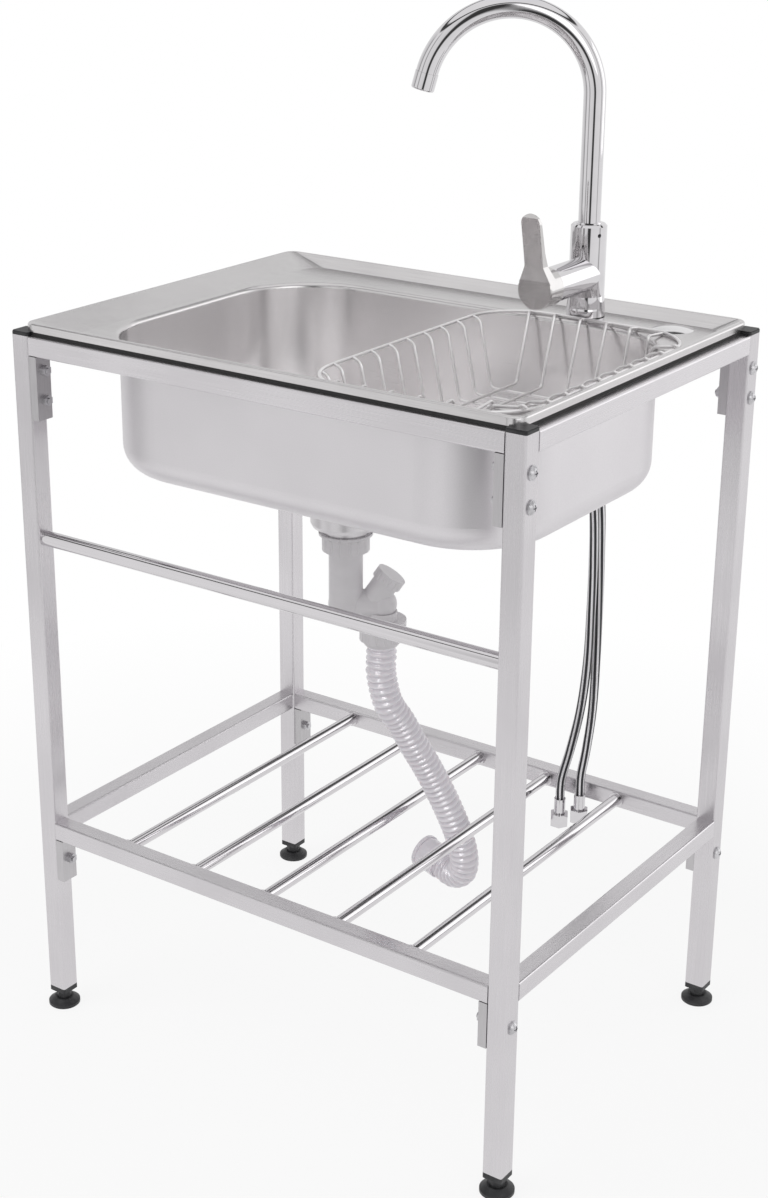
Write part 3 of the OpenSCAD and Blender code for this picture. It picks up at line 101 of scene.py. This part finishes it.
def sweep(name, route, side, sides, rings, closed_ends=False):
    """A tube along a route, through rings of (t, radius) that have so many corners each. The
    first corner is square to side. UVs run once round the tube, and along it in metres."""
    route_end, nudge = len(route) - 1, 0.01
    loops, lengths = [], []
    travelled, before = 0.0, along(route, rings[0][0])
    made = bmesh.new()
    for t, radius in rings:
        centre = along(route, t)
        heading = (along(route, min(t + nudge, route_end))
                   - along(route, max(t - nudge, 0))).normalized()
        across = Vector(side).cross(heading).normalized()
        over = heading.cross(across)
        travelled += (centre - before).length
        before = centre
        lengths.append(travelled)
        loops.append([made.verts.new(centre + radius * (cos(2 * pi * k / sides) * across
                                                        + sin(2 * pi * k / sides) * over))
                      for k in range(sides)])
    unwrap = made.loops.layers.uv.new("UVMap")
    corners = ((0, 0), (1, 0), (1, 1), (0, 1))
    for i in range(len(loops) - 1):
        for k in range(sides):
            face = made.faces.new([loops[i + b][(k + a) % sides] for a, b in corners])
            face.smooth = True
            for corner, (a, b) in zip(face.loops, corners):
                corner[unwrap].uv = ((k + a) / sides, lengths[i + b])
    if closed_ends:
        made.faces.new(loops[0][::-1])
        made.faces.new(loops[-1])
    mesh = bpy.data.meshes.new(name)
    made.to_mesh(mesh)
    made.free()
    piece = bpy.data.objects.new(name, mesh)
    bpy.context.scene.collection.objects.link(piece)
    return piece


class Nodes:
    """Short ways to add the nodes that the finishes and the room are made of."""

    def __init__(self, tree):
        self.nodes, self.links = tree.nodes, tree.links

    def feed(self, socket, value):
        """A socket takes another node's output, or a plain value."""
        if isinstance(value, bpy.types.NodeSocket):
            self.links.new(value, socket)
        else:
            socket.default_value = value

    def maths(self, operation, *values):
        """One operation on up to three values."""
        node = self.nodes.new("ShaderNodeMath")
        node.operation = operation
        for socket, value in zip(node.inputs, values):
            self.feed(socket, value)
        return node.outputs["Value"]

    def spread(self, value, low, high, source=(0.0, 1.0)):
        """A value taken from the source range to the one from low to high."""
        node = self.nodes.new("ShaderNodeMapRange")
        for name, part in (("Value", value), ("From Min", source[0]), ("From Max", source[1]),
                           ("To Min", low), ("To Max", high)):
            self.feed(node.inputs[name], part)
        return node.outputs["Result"]

    def mixed(self, factor, first, second, way="MIX"):
        """A colour mixed from two."""
        node = self.nodes.new("ShaderNodeMix")
        node.data_type, node.blend_type = "RGBA", way
        for name, part in (("Factor", factor), ("A", first), ("B", second)):
            self.feed(node.inputs[name], part)
        return node.outputs["Result"]

    def split(self, vector):
        """A vector's X, Y and Z."""
        node = self.nodes.new("ShaderNodeSeparateXYZ")
        self.feed(node.inputs["Vector"], vector)
        return node.outputs


class Finish(Nodes):
    """A material: its shader, and the coordinates in metres that its noise is laid on."""

    def __init__(self, name, colour, metal, rough):
        self.material = bpy.data.materials.new(name)
        self.material.use_nodes = True
        super().__init__(self.material.node_tree)
        self.shader = self.nodes["Principled BSDF"]
        self.shader.inputs["Base Color"].default_value = (*colour, 1)
        self.shader.inputs["Metallic"].default_value = metal
        self.shader.inputs["Roughness"].default_value = rough
        self.place = self.nodes.new("ShaderNodeTexCoord")

    def noise(self, scale, detail):
        """Noise on coordinates stretched by scale, one number for each axis."""
        mapping = self.nodes.new("ShaderNodeMapping")
        mapping.inputs["Scale"].default_value = scale
        self.feed(mapping.inputs["Vector"], self.place.outputs["Object"])
        noise = self.nodes.new("ShaderNodeTexNoise")
        noise.inputs["Scale"].default_value = 1
        noise.inputs["Detail"].default_value = detail
        self.feed(noise.inputs["Vector"], mapping.outputs["Vector"])
        return noise.outputs["Fac"]

    def tint(self, value, dark, light):
        """Base colour that goes from dark to light with a value."""
        self.feed(self.shader.inputs["Base Color"],
                  self.mixed(value, (*dark, 1), (*light, 1)))

    def dull(self, value, low, high):
        """Roughness that goes from low to high with a value."""
        self.feed(self.shader.inputs["Roughness"], self.spread(value, low, high))

    def relief(self, height, strength, distance):
        """Bump from a height."""
        bump = self.nodes.new("ShaderNodeBump")
        bump.inputs["Strength"].default_value = strength
        bump.inputs["Distance"].default_value = distance
        self.feed(bump.inputs["Height"], height)
        self.feed(self.shader.inputs["Normal"], bump.outputs["Normal"])


def wears(node, *finishes):
    """A frame node takes these finishes in place of the plain one it came with."""
    slots = parts[node].data.materials
    slots.clear()
    for finish in finishes:
        slots.append(finish.material)


hose_white = Finish("hose_white", (0.79, 0.76, 0.80), 0, 0.30)
hose_white.shader.inputs["Subsurface Weight"].default_value = 0.1
hose_white.shader.inputs["Subsurface Radius"].default_value = (0.004, 0.003, 0.003)
down_hose = hose_white.split(hose_white.place.outputs["UV"])["Y"]
rib = hose_white.maths("MULTIPLY_ADD", down_hose, hose_ribs / hose_length, -first_crest)
# Painted shade: the ribs' crests are coloured lighter and the grooves between them darker, as
# light and shade fall on them.
painted_rib_shading = hose_white.spread(hose_white.maths("PINGPONG", rib, 0.5), 0.8, 0.0, (0.1, 0.45))
mottle = hose_white.noise((60, 60, 60), 4)
hose_white.tint(hose_white.maths("MULTIPLY_ADD", mottle, 0.3, painted_rib_shading),
                (0.76, 0.72, 0.77), (0.94, 0.905, 0.95))
hose_white.dull(mottle, 0.14, 0.24)
hose_white.relief(hose_white.noise((900, 900, 900), 2), 0.15, 0.0003)

# The rings are laid out from a level direction, turned to the front from the unit's left,
# along which the hose never runs.
hose_turn = radians(24)
hose_end, hose_sides, hose_rings, bore_rings = len(hose_route) - 1, 32, hose_ribs * 8, 90
outside = []
for k, t in enumerate(even_places(hose_route, hose_rings)):
    swell = 0.5 + 0.5 * cos(2 * pi * (k / hose_rings * hose_ribs - first_crest))
    outside.append((t, groove_radius + (crest_radius - groove_radius) * swell))
bore = [(hose_end * (1 - k / bore_rings), hose_bore_radius) for k in range(bore_rings + 1)]
drain_hose = sweep("drain_hose_ribbed", hose_route, (-cos(hose_turn), -sin(hose_turn), 0),
                   hose_sides, outside + bore + [outside[0]])
drain_hose.data.materials.append(hose_white.material)
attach(drain_hose, "unit")
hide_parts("drain_hose")
wears("drain_cuff", hose_white)


# Supply hoses: two rubber hoses in a jacket braided from fine steel wire, with dark tracer
# wires spiralling through it. They hang from the tap's body behind the bowl, side by side.
hot_route = [(0.126, 0.171, 0.760), (0.126, 0.171, 0.742), (0.126, 0.171, 0.724),
             (0.130, 0.170, 0.690), (0.142, 0.170, 0.635), (0.150, 0.171, 0.575),
             (0.152, 0.172, 0.515), (0.151, 0.174, 0.455), (0.148, 0.177, 0.395),
             (0.140, 0.181, 0.335), (0.128, 0.184, 0.282), (0.118, 0.186, 0.246),
             (0.116, 0.186, 0.230), (0.116, 0.186, 0.215)]
cold_route = [(0.126, 0.183, 0.760), (0.126, 0.183, 0.742), (0.126, 0.183, 0.724),
              (0.131, 0.183, 0.690), (0.143, 0.183, 0.635), (0.151, 0.184, 0.575),
              (0.153, 0.185, 0.515), (0.153, 0.187, 0.455), (0.152, 0.189, 0.395),
              (0.150, 0.190, 0.335), (0.145, 0.190, 0.286), (0.140, 0.190, 0.254),
              (0.139, 0.190, 0.240), (0.139, 0.190, 0.225)]
braid_radius, braid_sides, braid_rings = 0.005, 20, 150
braid = Finish("braided_wire", (0.6, 0.6, 0.6), 1, 0.3)


def spiral(turns_per_metre, strands, edge):
    """Strands that wind round a hose: 1 on a strand's crown and 0 between strands. edge holds
    where the rise starts and ends, from 0 between strands to 0.5 on the crown."""
    unrolled = braid.split(braid.place.outputs["UV"])
    climb = braid.maths("MULTIPLY", unrolled["Y"], turns_per_metre * strands)
    turn = braid.maths("MULTIPLY_ADD", unrolled["X"], strands, climb)
    return braid.spread(braid.maths("PINGPONG", turn, 0.5), 0, 1, edge)


crossing = braid.maths("MAXIMUM", spiral(40, 12, (0, 0.5)), spiral(-40, 12, (0, 0.5)))
tracer = braid.maths("MULTIPLY", spiral(0.6, 6, (0.16, 0.26)), braid.spread(crossing, 0.85, 1.0))
braid.tint(tracer, (0.80, 0.79, 0.81), (0.010, 0.010, 0.014))
braid.relief(crossing, 0.9, 0.0006)

for name, node, route, length in (("hot_hose_braided", "hot_hose", hot_route, 0.5511),
                                  ("cold_hose_braided", "cold_hose", cold_route, 0.5381)):
    places = [(len(route) - 1) * k / braid_rings for k in range(braid_rings + 1)]
    supply_hose = sweep(name, route, (0, 1, 0), braid_sides, [(t, braid_radius) for t in places],
                        closed_ends=True)
    supply_hose.data.materials.append(braid.material)
    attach(supply_hose, "unit")
    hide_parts(node)


# Side frames and rails: square tube of thin stainless sheet, seam-welded and brushed along
# its length. Rails are welded to the legs at the sides and bolted on at front and back.
def brushed(name, scale, light=(0.68, 0.66, 0.68), dark=(0.61, 0.59, 0.61), rough=(0.22, 0.34),
            depth=0.10, stretch=None):
    """Steel brushed along one axis: scale is small along the brushing and large across it.
    stretch is the way across the brushing, along which a highlight is drawn out."""
    steel = Finish(name, light, 1, rough[0])
    lines = steel.noise(scale, 2)
    cloud = steel.noise((9, 9, 9), 3)
    half_cloud = steel.maths("MULTIPLY", cloud, 0.5)
    wear = steel.spread(steel.maths("MULTIPLY_ADD", lines, 0.5, half_cloud), 0, 1, (0.3, 0.7))
    steel.tint(wear, dark, light)
    steel.dull(wear, rough[1], rough[0])
    steel.relief(lines, depth, 0.0004)
    if stretch:
        across = steel.nodes.new("ShaderNodeCombineXYZ")
        for axis, part in zip("XYZ", stretch):
            across.inputs[axis].default_value = part
        steel.shader.inputs["Anisotropic"].default_value = 0.6
        steel.feed(steel.shader.inputs["Tangent"], across.outputs["Vector"])
    return steel


upright_steel = brushed("steel_brushed_upright", (1600, 1600, 12), stretch=(1, 1, 0))
crosswise_steel = brushed("steel_brushed_crosswise", (12, 1600, 1600), stretch=(0, 1, 1))
fore_aft_steel = brushed("steel_brushed_fore_aft", (1600, 12, 1600), stretch=(1, 0, 1))
for node in ("front_left_leg", "front_right_leg", "back_left_leg", "back_right_leg"):
    wears(node, upright_steel)
for node in ("front_top_rail", "back_top_rail", "front_shelf_rail", "back_shelf_rail"):
    wears(node, crosswise_steel)
for node in ("left_top_rail", "right_top_rail", "left_shelf_rail", "right_shelf_rail"):
    wears(node, fore_aft_steel)


# Shelf bars and front crossbar: round tube polished bright, welded between the rails. The
# shelf's five bars run from front to back, and the crossbar from leg to leg.
bright_tube = {"light": (0.68, 0.66, 0.68), "dark": (0.62, 0.605, 0.62), "rough": (0.07, 0.12),
               "depth": 0.01}
wears("front_crossbar", brushed("steel_polished", (5, 900, 900), **bright_tube))
wears("shelf_bars", brushed("steel_polished_fore_aft", (900, 5, 900), **bright_tube))


# Brackets and fasteners: folded zinc-plated channels, and pan-head screws with washers and
# nuts. The plating is a little blue and cloudy.
zinc = Finish("zinc_plate", (0.7, 0.7, 0.72), 1, 0.35)
cloud = zinc.noise((120, 120, 120), 5)
zinc.tint(zinc.spread(cloud, 0, 1, (0.3, 0.7)), (0.46, 0.455, 0.47), (0.66, 0.65, 0.67))
zinc.dull(cloud, 0.22, 0.48)
zinc.relief(zinc.noise((1500, 1500, 1500), 2), 0.1, 0.0003)
for node in ("frame_bolts", "frame_washers", "frame_nuts"):
    wears(node, zinc)
bracket_steel = brushed("bracket_steel", (1200, 1200, 30), (0.58, 0.565, 0.58),
                        (0.47, 0.46, 0.47), (0.26, 0.4))
wears("top_brackets", bracket_steel)
wears("shelf_brackets", bracket_steel)


# Caps, inserts and levelling feet: black moulded nylon with a fine spark-eroded grain, dusty
# and a little scuffed. The wing nut under the hole cover is moulded in the same nylon.
nylon = Finish("black_nylon", (0.02, 0.02, 0.022), 0, 0.45)
scuff = nylon.noise((70, 70, 140), 5)
nylon.tint(nylon.spread(scuff, 0, 1, (0.45, 0.8)), (0.012, 0.012, 0.014), (0.06, 0.06, 0.062))
nylon.dull(scuff, 0.34, 0.6)
nylon.relief(nylon.noise((1800, 1800, 1800), 3), 0.25, 0.0002)
for node in ("leg_caps", "foot_inserts", "front_left_foot", "front_right_foot",
             "back_left_foot", "back_right_foot", "cover_nut"):
    wears(node, nylon)


# Sink: one stainless sheet, deep-drawn, with a rolled rim. The deck is brushed crosswise, the
# inside of the bowl has a coarser satin grain, and the outside is left as drawn.
deck_steel = brushed("sink_deck_brushed", (14, 1300, 700), (0.66, 0.645, 0.65),
                     (0.58, 0.565, 0.57), (0.18, 0.26), 0.03, (0, 1, 0))
# Painted light: the bowl's inside is coloured much lighter than the deck of the same sheet, to
# make up for the shade that falls inside the bowl.
bowl_steel_painted_light = brushed("sink_bowl_satin_painted_light", (30, 30, 1500), (0.93, 0.915, 0.92),
                     (0.88, 0.865, 0.87), (0.22, 0.28), 0.02, (0, 0, 1))
shell_steel = brushed("sink_shell_drawn", (900, 900, 900), (0.75, 0.73, 0.75),
                      (0.70, 0.68, 0.70), (0.40, 0.46), 0.02)
wears("sink_bowl", deck_steel, bowl_steel_painted_light, shell_steel)
on_deck, in_bowl, on_shell = range(3)
bowl_middle_x, bowl_middle_y = 0.016, -0.0265
# The deck's finish ends in the bend down to the bowl: every face above bend_top has it, and from
# bend_foot to bend_top those that still face up. Its darker colour on the bend is painted shade,
# which dims the bright ring that the bend reflects round the bowl's edge.
bend_top, bend_foot = 0.7765, 0.755
for face in parts["sink_bowl"].data.polygons:
    middle, facing = face.center, face.normal
    outwards = (middle.x - bowl_middle_x) * facing.x + (middle.y - bowl_middle_y) * facing.y
    if middle.z > bend_top or (middle.z > bend_foot and facing.z > 0.1):
        face.material_index = on_deck if facing.z > -0.2 else on_shell
    else:
        face.material_index = in_bowl if outwards < 0 or facing.z > 0.5 else on_shell


# Gaskets, washer and seal: black rubber, matt, with moulding dust. One gasket lies between
# the sink's rim and the rails, and the others seal the drain hole and the tap hole.
rubber = Finish("black_rubber", (0.02, 0.02, 0.02), 0, 0.7)
dust = rubber.noise((300, 300, 300), 4)
rubber.tint(dust, (0.012, 0.012, 0.012), (0.05, 0.05, 0.05))
rubber.dull(dust, 0.6, 0.85)
rubber.relief(dust, 0.2, 0.0003)
# Partly painted shadow: the gasket under the sink's rim is black rubber, and its black band also
# stands in for the shadow in the gap between the rim and the rails.
for node in ("sink_gasket", "drain_gasket", "tap_seal", "shank_washer"):
    wears(node, rubber)


# Hole cover: a domed disc pressed from thin sheet and plated, over the deck's second hole.
# Its nut holds it from below.
cover_chrome = Finish("cover_chrome", (0.74, 0.73, 0.74), 1, 0.1)
smears = cover_chrome.noise((90, 60, 60), 5)
cover_chrome.tint(smears, (0.70, 0.69, 0.70), (0.78, 0.77, 0.78))
cover_chrome.dull(smears, 0.05, 0.14)
cover_chrome.relief(smears, 0.02, 0.0004)
wears("hole_cover", cover_chrome)


# Strainer: a spun steel cup set in the bowl's dish, with its perforated lift-out basket. The
# lock nut holds it from below.
cup_steel = brushed("strainer_steel", (500, 500, 900), (0.68, 0.665, 0.68),
                    (0.61, 0.595, 0.61), (0.30, 0.38), 0.03)
for node in ("strainer_body", "strainer_basket", "lock_nut"):
    wears(node, cup_steel)


# Waste fitting: a branched pipe moulded in grey plastic, with a capped spare inlet, held by
# fluted nuts above and below.
trap_grey = Finish("trap_grey", (0.68, 0.66, 0.68), 0, 0.3)
flow = trap_grey.noise((40, 40, 90), 4)
trap_grey.tint(flow, (0.70, 0.68, 0.70), (0.78, 0.76, 0.78))
trap_grey.dull(flow, 0.28, 0.44)
trap_grey.relief(trap_grey.noise((700, 700, 700), 2), 0.12, 0.0003)
for node in ("slip_nut", "drain_wye", "branch_cap", "outlet_nut"):
    wears(node, trap_grey)


# Tap: cast brass under bright chrome, with a bent tube spout and a side housing for the
# cartridge. Faint wipe marks show in the plating, and the supply hoses' ends are plated too.
chrome = Finish("bright_chrome", (0.66, 0.65, 0.66), 1, 0.04)
wipes = chrome.noise((30, 30, 75), 6)
chrome.tint(wipes, (0.62, 0.61, 0.625), (0.70, 0.685, 0.70))
chrome.dull(wipes, 0.02, 0.07)
chrome.relief(chrome.noise((120, 120, 120), 2), 0.02, 0.0004)
for node in ("tap_base_ring", "tap_body", "spout", "aerator", "cartridge_ring", "union_nuts",
             "hose_sleeves"):
    wears(node, chrome)


# Lever: a round head with a flat blade, cast in one and chromed. Hands have dulled its plating
# more than the tap's.
lever_chrome = Finish("lever_chrome", (0.56, 0.55, 0.55), 1, 0.14)
handled = lever_chrome.noise((45, 45, 60), 5)
lever_chrome.tint(handled, (0.52, 0.51, 0.51), (0.62, 0.605, 0.60))
lever_chrome.dull(handled, 0.09, 0.20)
lever_chrome.relief(lever_chrome.noise((300, 300, 300), 2), 0.03, 0.0003)
wears("lever_handle", lever_chrome)


# Tap's fixing under the deck: a brass shank and its nut, bare and turned on a lathe, so that
# fine rings run round them.
brass = Finish("machined_brass", (0.7, 0.54, 0.26), 1, 0.3)
turned = brass.noise((60, 60, 2500), 2)
brass.tint(turned, (0.58, 0.43, 0.19), (0.74, 0.58, 0.30))
brass.dull(turned, 0.24, 0.4)
brass.relief(turned, 0.5, 0.0005)
wears("tap_shank", brass)
wears("shank_nut", brass)


# Tap's works: a white moulded cartridge with its carrier, and the stem and the small socket
# screws in blacked steel.
dark_steel = Finish("blacked_steel", (0.12, 0.12, 0.12), 1, 0.4)
oxide = dark_steel.noise((900, 900, 900), 3)
dark_steel.tint(oxide, (0.08, 0.08, 0.085), (0.2, 0.2, 0.21))
dark_steel.dull(oxide, 0.3, 0.5)
for node in ("spout_screw", "lever_screw", "cartridge_stem"):
    wears(node, dark_steel)
cartridge_white = Finish("cartridge_white", (0.8, 0.8, 0.78), 0, 0.4)
mould = cartridge_white.noise((400, 400, 400), 3)
cartridge_white.tint(mould, (0.74, 0.74, 0.72), (0.84, 0.84, 0.82))
cartridge_white.relief(mould, 0.1, 0.0003)
for node in ("cartridge", "cartridge_carrier"):
    wears(node, cartridge_white)


# Wire basket: bright steel wire, spot-welded where it crosses, hooked over its own rim wire
# on the right.
wire_bright = Finish("basket_wire", (0.84, 0.825, 0.83), 1, 0.36)
drawn = wire_bright.noise((260, 260, 260), 4)
wire_bright.tint(drawn, (0.80, 0.785, 0.79), (0.88, 0.865, 0.87))
wire_bright.dull(drawn, 0.30, 0.42)
wire_bright.relief(drawn, 0.05, 0.0002)
wears("wire_basket", wire_bright)


# Edges of the frame's pieces: curved faces shade smooth, and folds, rims and cut ends stay
# crisp. The thin wires have fewer facets, so theirs blend up to a wider angle.
for piece in parts.values():
    if not piece.hide_render:
        crisp_from = 40 if piece.name == "wire_basket" else 30
        piece.data.shade_smooth()
        piece.data.set_sharp_from_angle(angle=radians(crisp_from))


# Floor: a round white studio floor, dull, which keeps the unit's shadow. It glows where the
# camera or polished metal sees it, more so further out, so that it ends in the white room.
floor_mesh = bpy.data.meshes.new("floor")
made = bmesh.new()
bmesh.ops.create_circle(made, cap_ends=True, segments=96, radius=1.5)
made.to_mesh(floor_mesh)
made.free()
floor_piece = bpy.data.objects.new("floor", floor_mesh)
bpy.context.scene.collection.objects.link(floor_piece)


def seen(tree, rays):
    """1 for what the camera sees and for what metal and glass show, 0 for the light itself."""
    total = rays.outputs["Is Camera Ray"]
    for kind in ("Is Glossy Ray", "Is Transmission Ray"):
        total = tree.maths("MAXIMUM", total, rays.outputs[kind])
    return total


floor_white = Finish("floor_white", (0.9, 0.9, 0.9), 0, 0.9)
floor_white.shader.inputs["Specular IOR Level"].default_value = 0.1
reach = floor_white.nodes.new("ShaderNodeVectorMath")
reach.operation = "LENGTH"
floor_white.feed(reach.inputs[0], floor_white.place.outputs["Object"])
cover = floor_white.maths("MULTIPLY",
                          floor_white.spread(reach.outputs["Value"], 0.86, 1.0, (0.5, 1.2)),
                          seen(floor_white, floor_white.nodes.new("ShaderNodeLightPath")))
glow = floor_white.nodes.new("ShaderNodeEmission")
glow.inputs["Color"].default_value = (1, 1, 1, 1)
glowing = floor_white.nodes.new("ShaderNodeMixShader")
floor_white.feed(glowing.inputs["Fac"], cover)
floor_white.feed(glowing.inputs[1], floor_white.shader.outputs["BSDF"])
floor_white.feed(glowing.inputs[2], glow.outputs["Emission"])
floor_white.feed(floor_white.nodes["Material Output"].inputs["Surface"],
                 glowing.outputs["Shader"])
floor_mesh.materials.append(floor_white.material)


# Room: white all round. Tall dark flags stand in it and a dark ring hangs under its ceiling,
# so that polished metal shows dark streaks between the white. The camera sees white alone.
world = bpy.data.worlds.new("studio")
bpy.context.scene.world = world
world.use_nodes = True
room = Nodes(world.node_tree)
# Each flag's bearing in degrees, 0 to the unit's front and 90 to its right, and its grey
flags = ((-180, 1.0), (-160, 0.95), (-136, 0.78), (-112, 0.95), (-76, 0.8), (-62, 0.35),
         (-54, 0.95), (-34, 1.0), (-22, 0.40), (-14, 0.95), (18, 0.9), (26, 0.06),
         (38, 0.05), (45, 0.95), (96, 1.0), (104, 0.45), (112, 1.0), (180, 1.0))
# The ring's height, as the upward part of a direction of length 1, and its grey
ring = ((-1, 1.0), (0.60, 1.0), (0.645, 0.08), (0.70, 0.06), (0.745, 1.0), (1, 1.0))


def greys(value, stops):
    """A grey for each place along a value that goes from 0 to 1."""
    ramp = room.nodes.new("ShaderNodeValToRGB")
    ramp.color_ramp.interpolation = "EASE"
    marks = ramp.color_ramp.elements
    marks.remove(marks[-1])
    for i, (at, grey) in enumerate(stops):
        mark = marks.new(at) if i else marks[0]
        mark.position = at
        mark.color = (grey, grey, grey, 1)
    room.feed(ramp.inputs["Fac"], value)
    return ramp.outputs["Color"]


room_white = (1, 1, 1, 1)
sight = room.nodes.new("ShaderNodeLightPath")
direction = room.split(room.nodes.new("ShaderNodeTexCoord").outputs["Generated"])
bearing = room.maths("ARCTAN2", direction["X"], room.maths("MULTIPLY", direction["Y"], -1))
walls = greys(room.spread(bearing, 0, 1, (-pi, pi)), [((d + 180) / 360, g) for d, g in flags])
ceiling = greys(room.spread(direction["Z"], 0, 1, (-1, 1)), [((z + 1) / 2, g) for z, g in ring])
above_flags = room.spread(direction["Z"], 0, 1, (0.50, 0.62))
shown = room.mixed(1, room.mixed(above_flags, walls, room_white), ceiling, "MULTIPLY")
background = room.nodes["Background"]
room.feed(background.inputs["Color"],
          room.mixed(sight.outputs["Is Camera Ray"], shown, room_white))
room.feed(background.inputs["Strength"], room.spread(seen(room, sight), 0.68, 1.0))


# Lamps: three large soft ones, at the front left, the front right and the back right. Metal
# doesn't show the key lamp, which would be a clipped white patch in it.
def lamp(name, spot, aimed_at, power, size):
    """A soft square lamp that faces a point of the unit."""
    data = bpy.data.lights.new(name, "AREA")
    data.energy, data.size = power, size
    standing = bpy.data.objects.new(name, data)
    standing.location = spot
    standing.rotation_euler = (Vector(spot) - Vector(aimed_at)).to_track_quat("Z", "Y").to_euler()
    bpy.context.scene.collection.objects.link(standing)
    return standing


under_bowl = (0, 0, 0.5)
key = lamp("key", (-1.7, -2.9, 3.2), under_bowl, 42, 3.0)
key.visible_glossy = False
lamp("fill", (3.2, -1.7, 2.0), under_bowl, 12, 2.2)
lamp("rim", (2.4, 3.0, 1.4), under_bowl, 10, 2.2)


# Glint: one more soft lamp, near the camera. It shines on the drain hose and its cuff alone,
# and only as the white glints on the ribs' crests.
glint = lamp("glint", (0.4, -2.4, 2.3), (0, 0, 0.3), 115, 1.8)
glint.visible_diffuse = False
glinting = bpy.data.collections.new("glinting")
glinting.objects.link(drain_hose)
glinting.objects.link(parts["drain_cuff"])
glint.light_linking.receiver_collection = glinting


# The view is the plain one.
bpy.context.scene.view_settings.view_transform = "Standard"
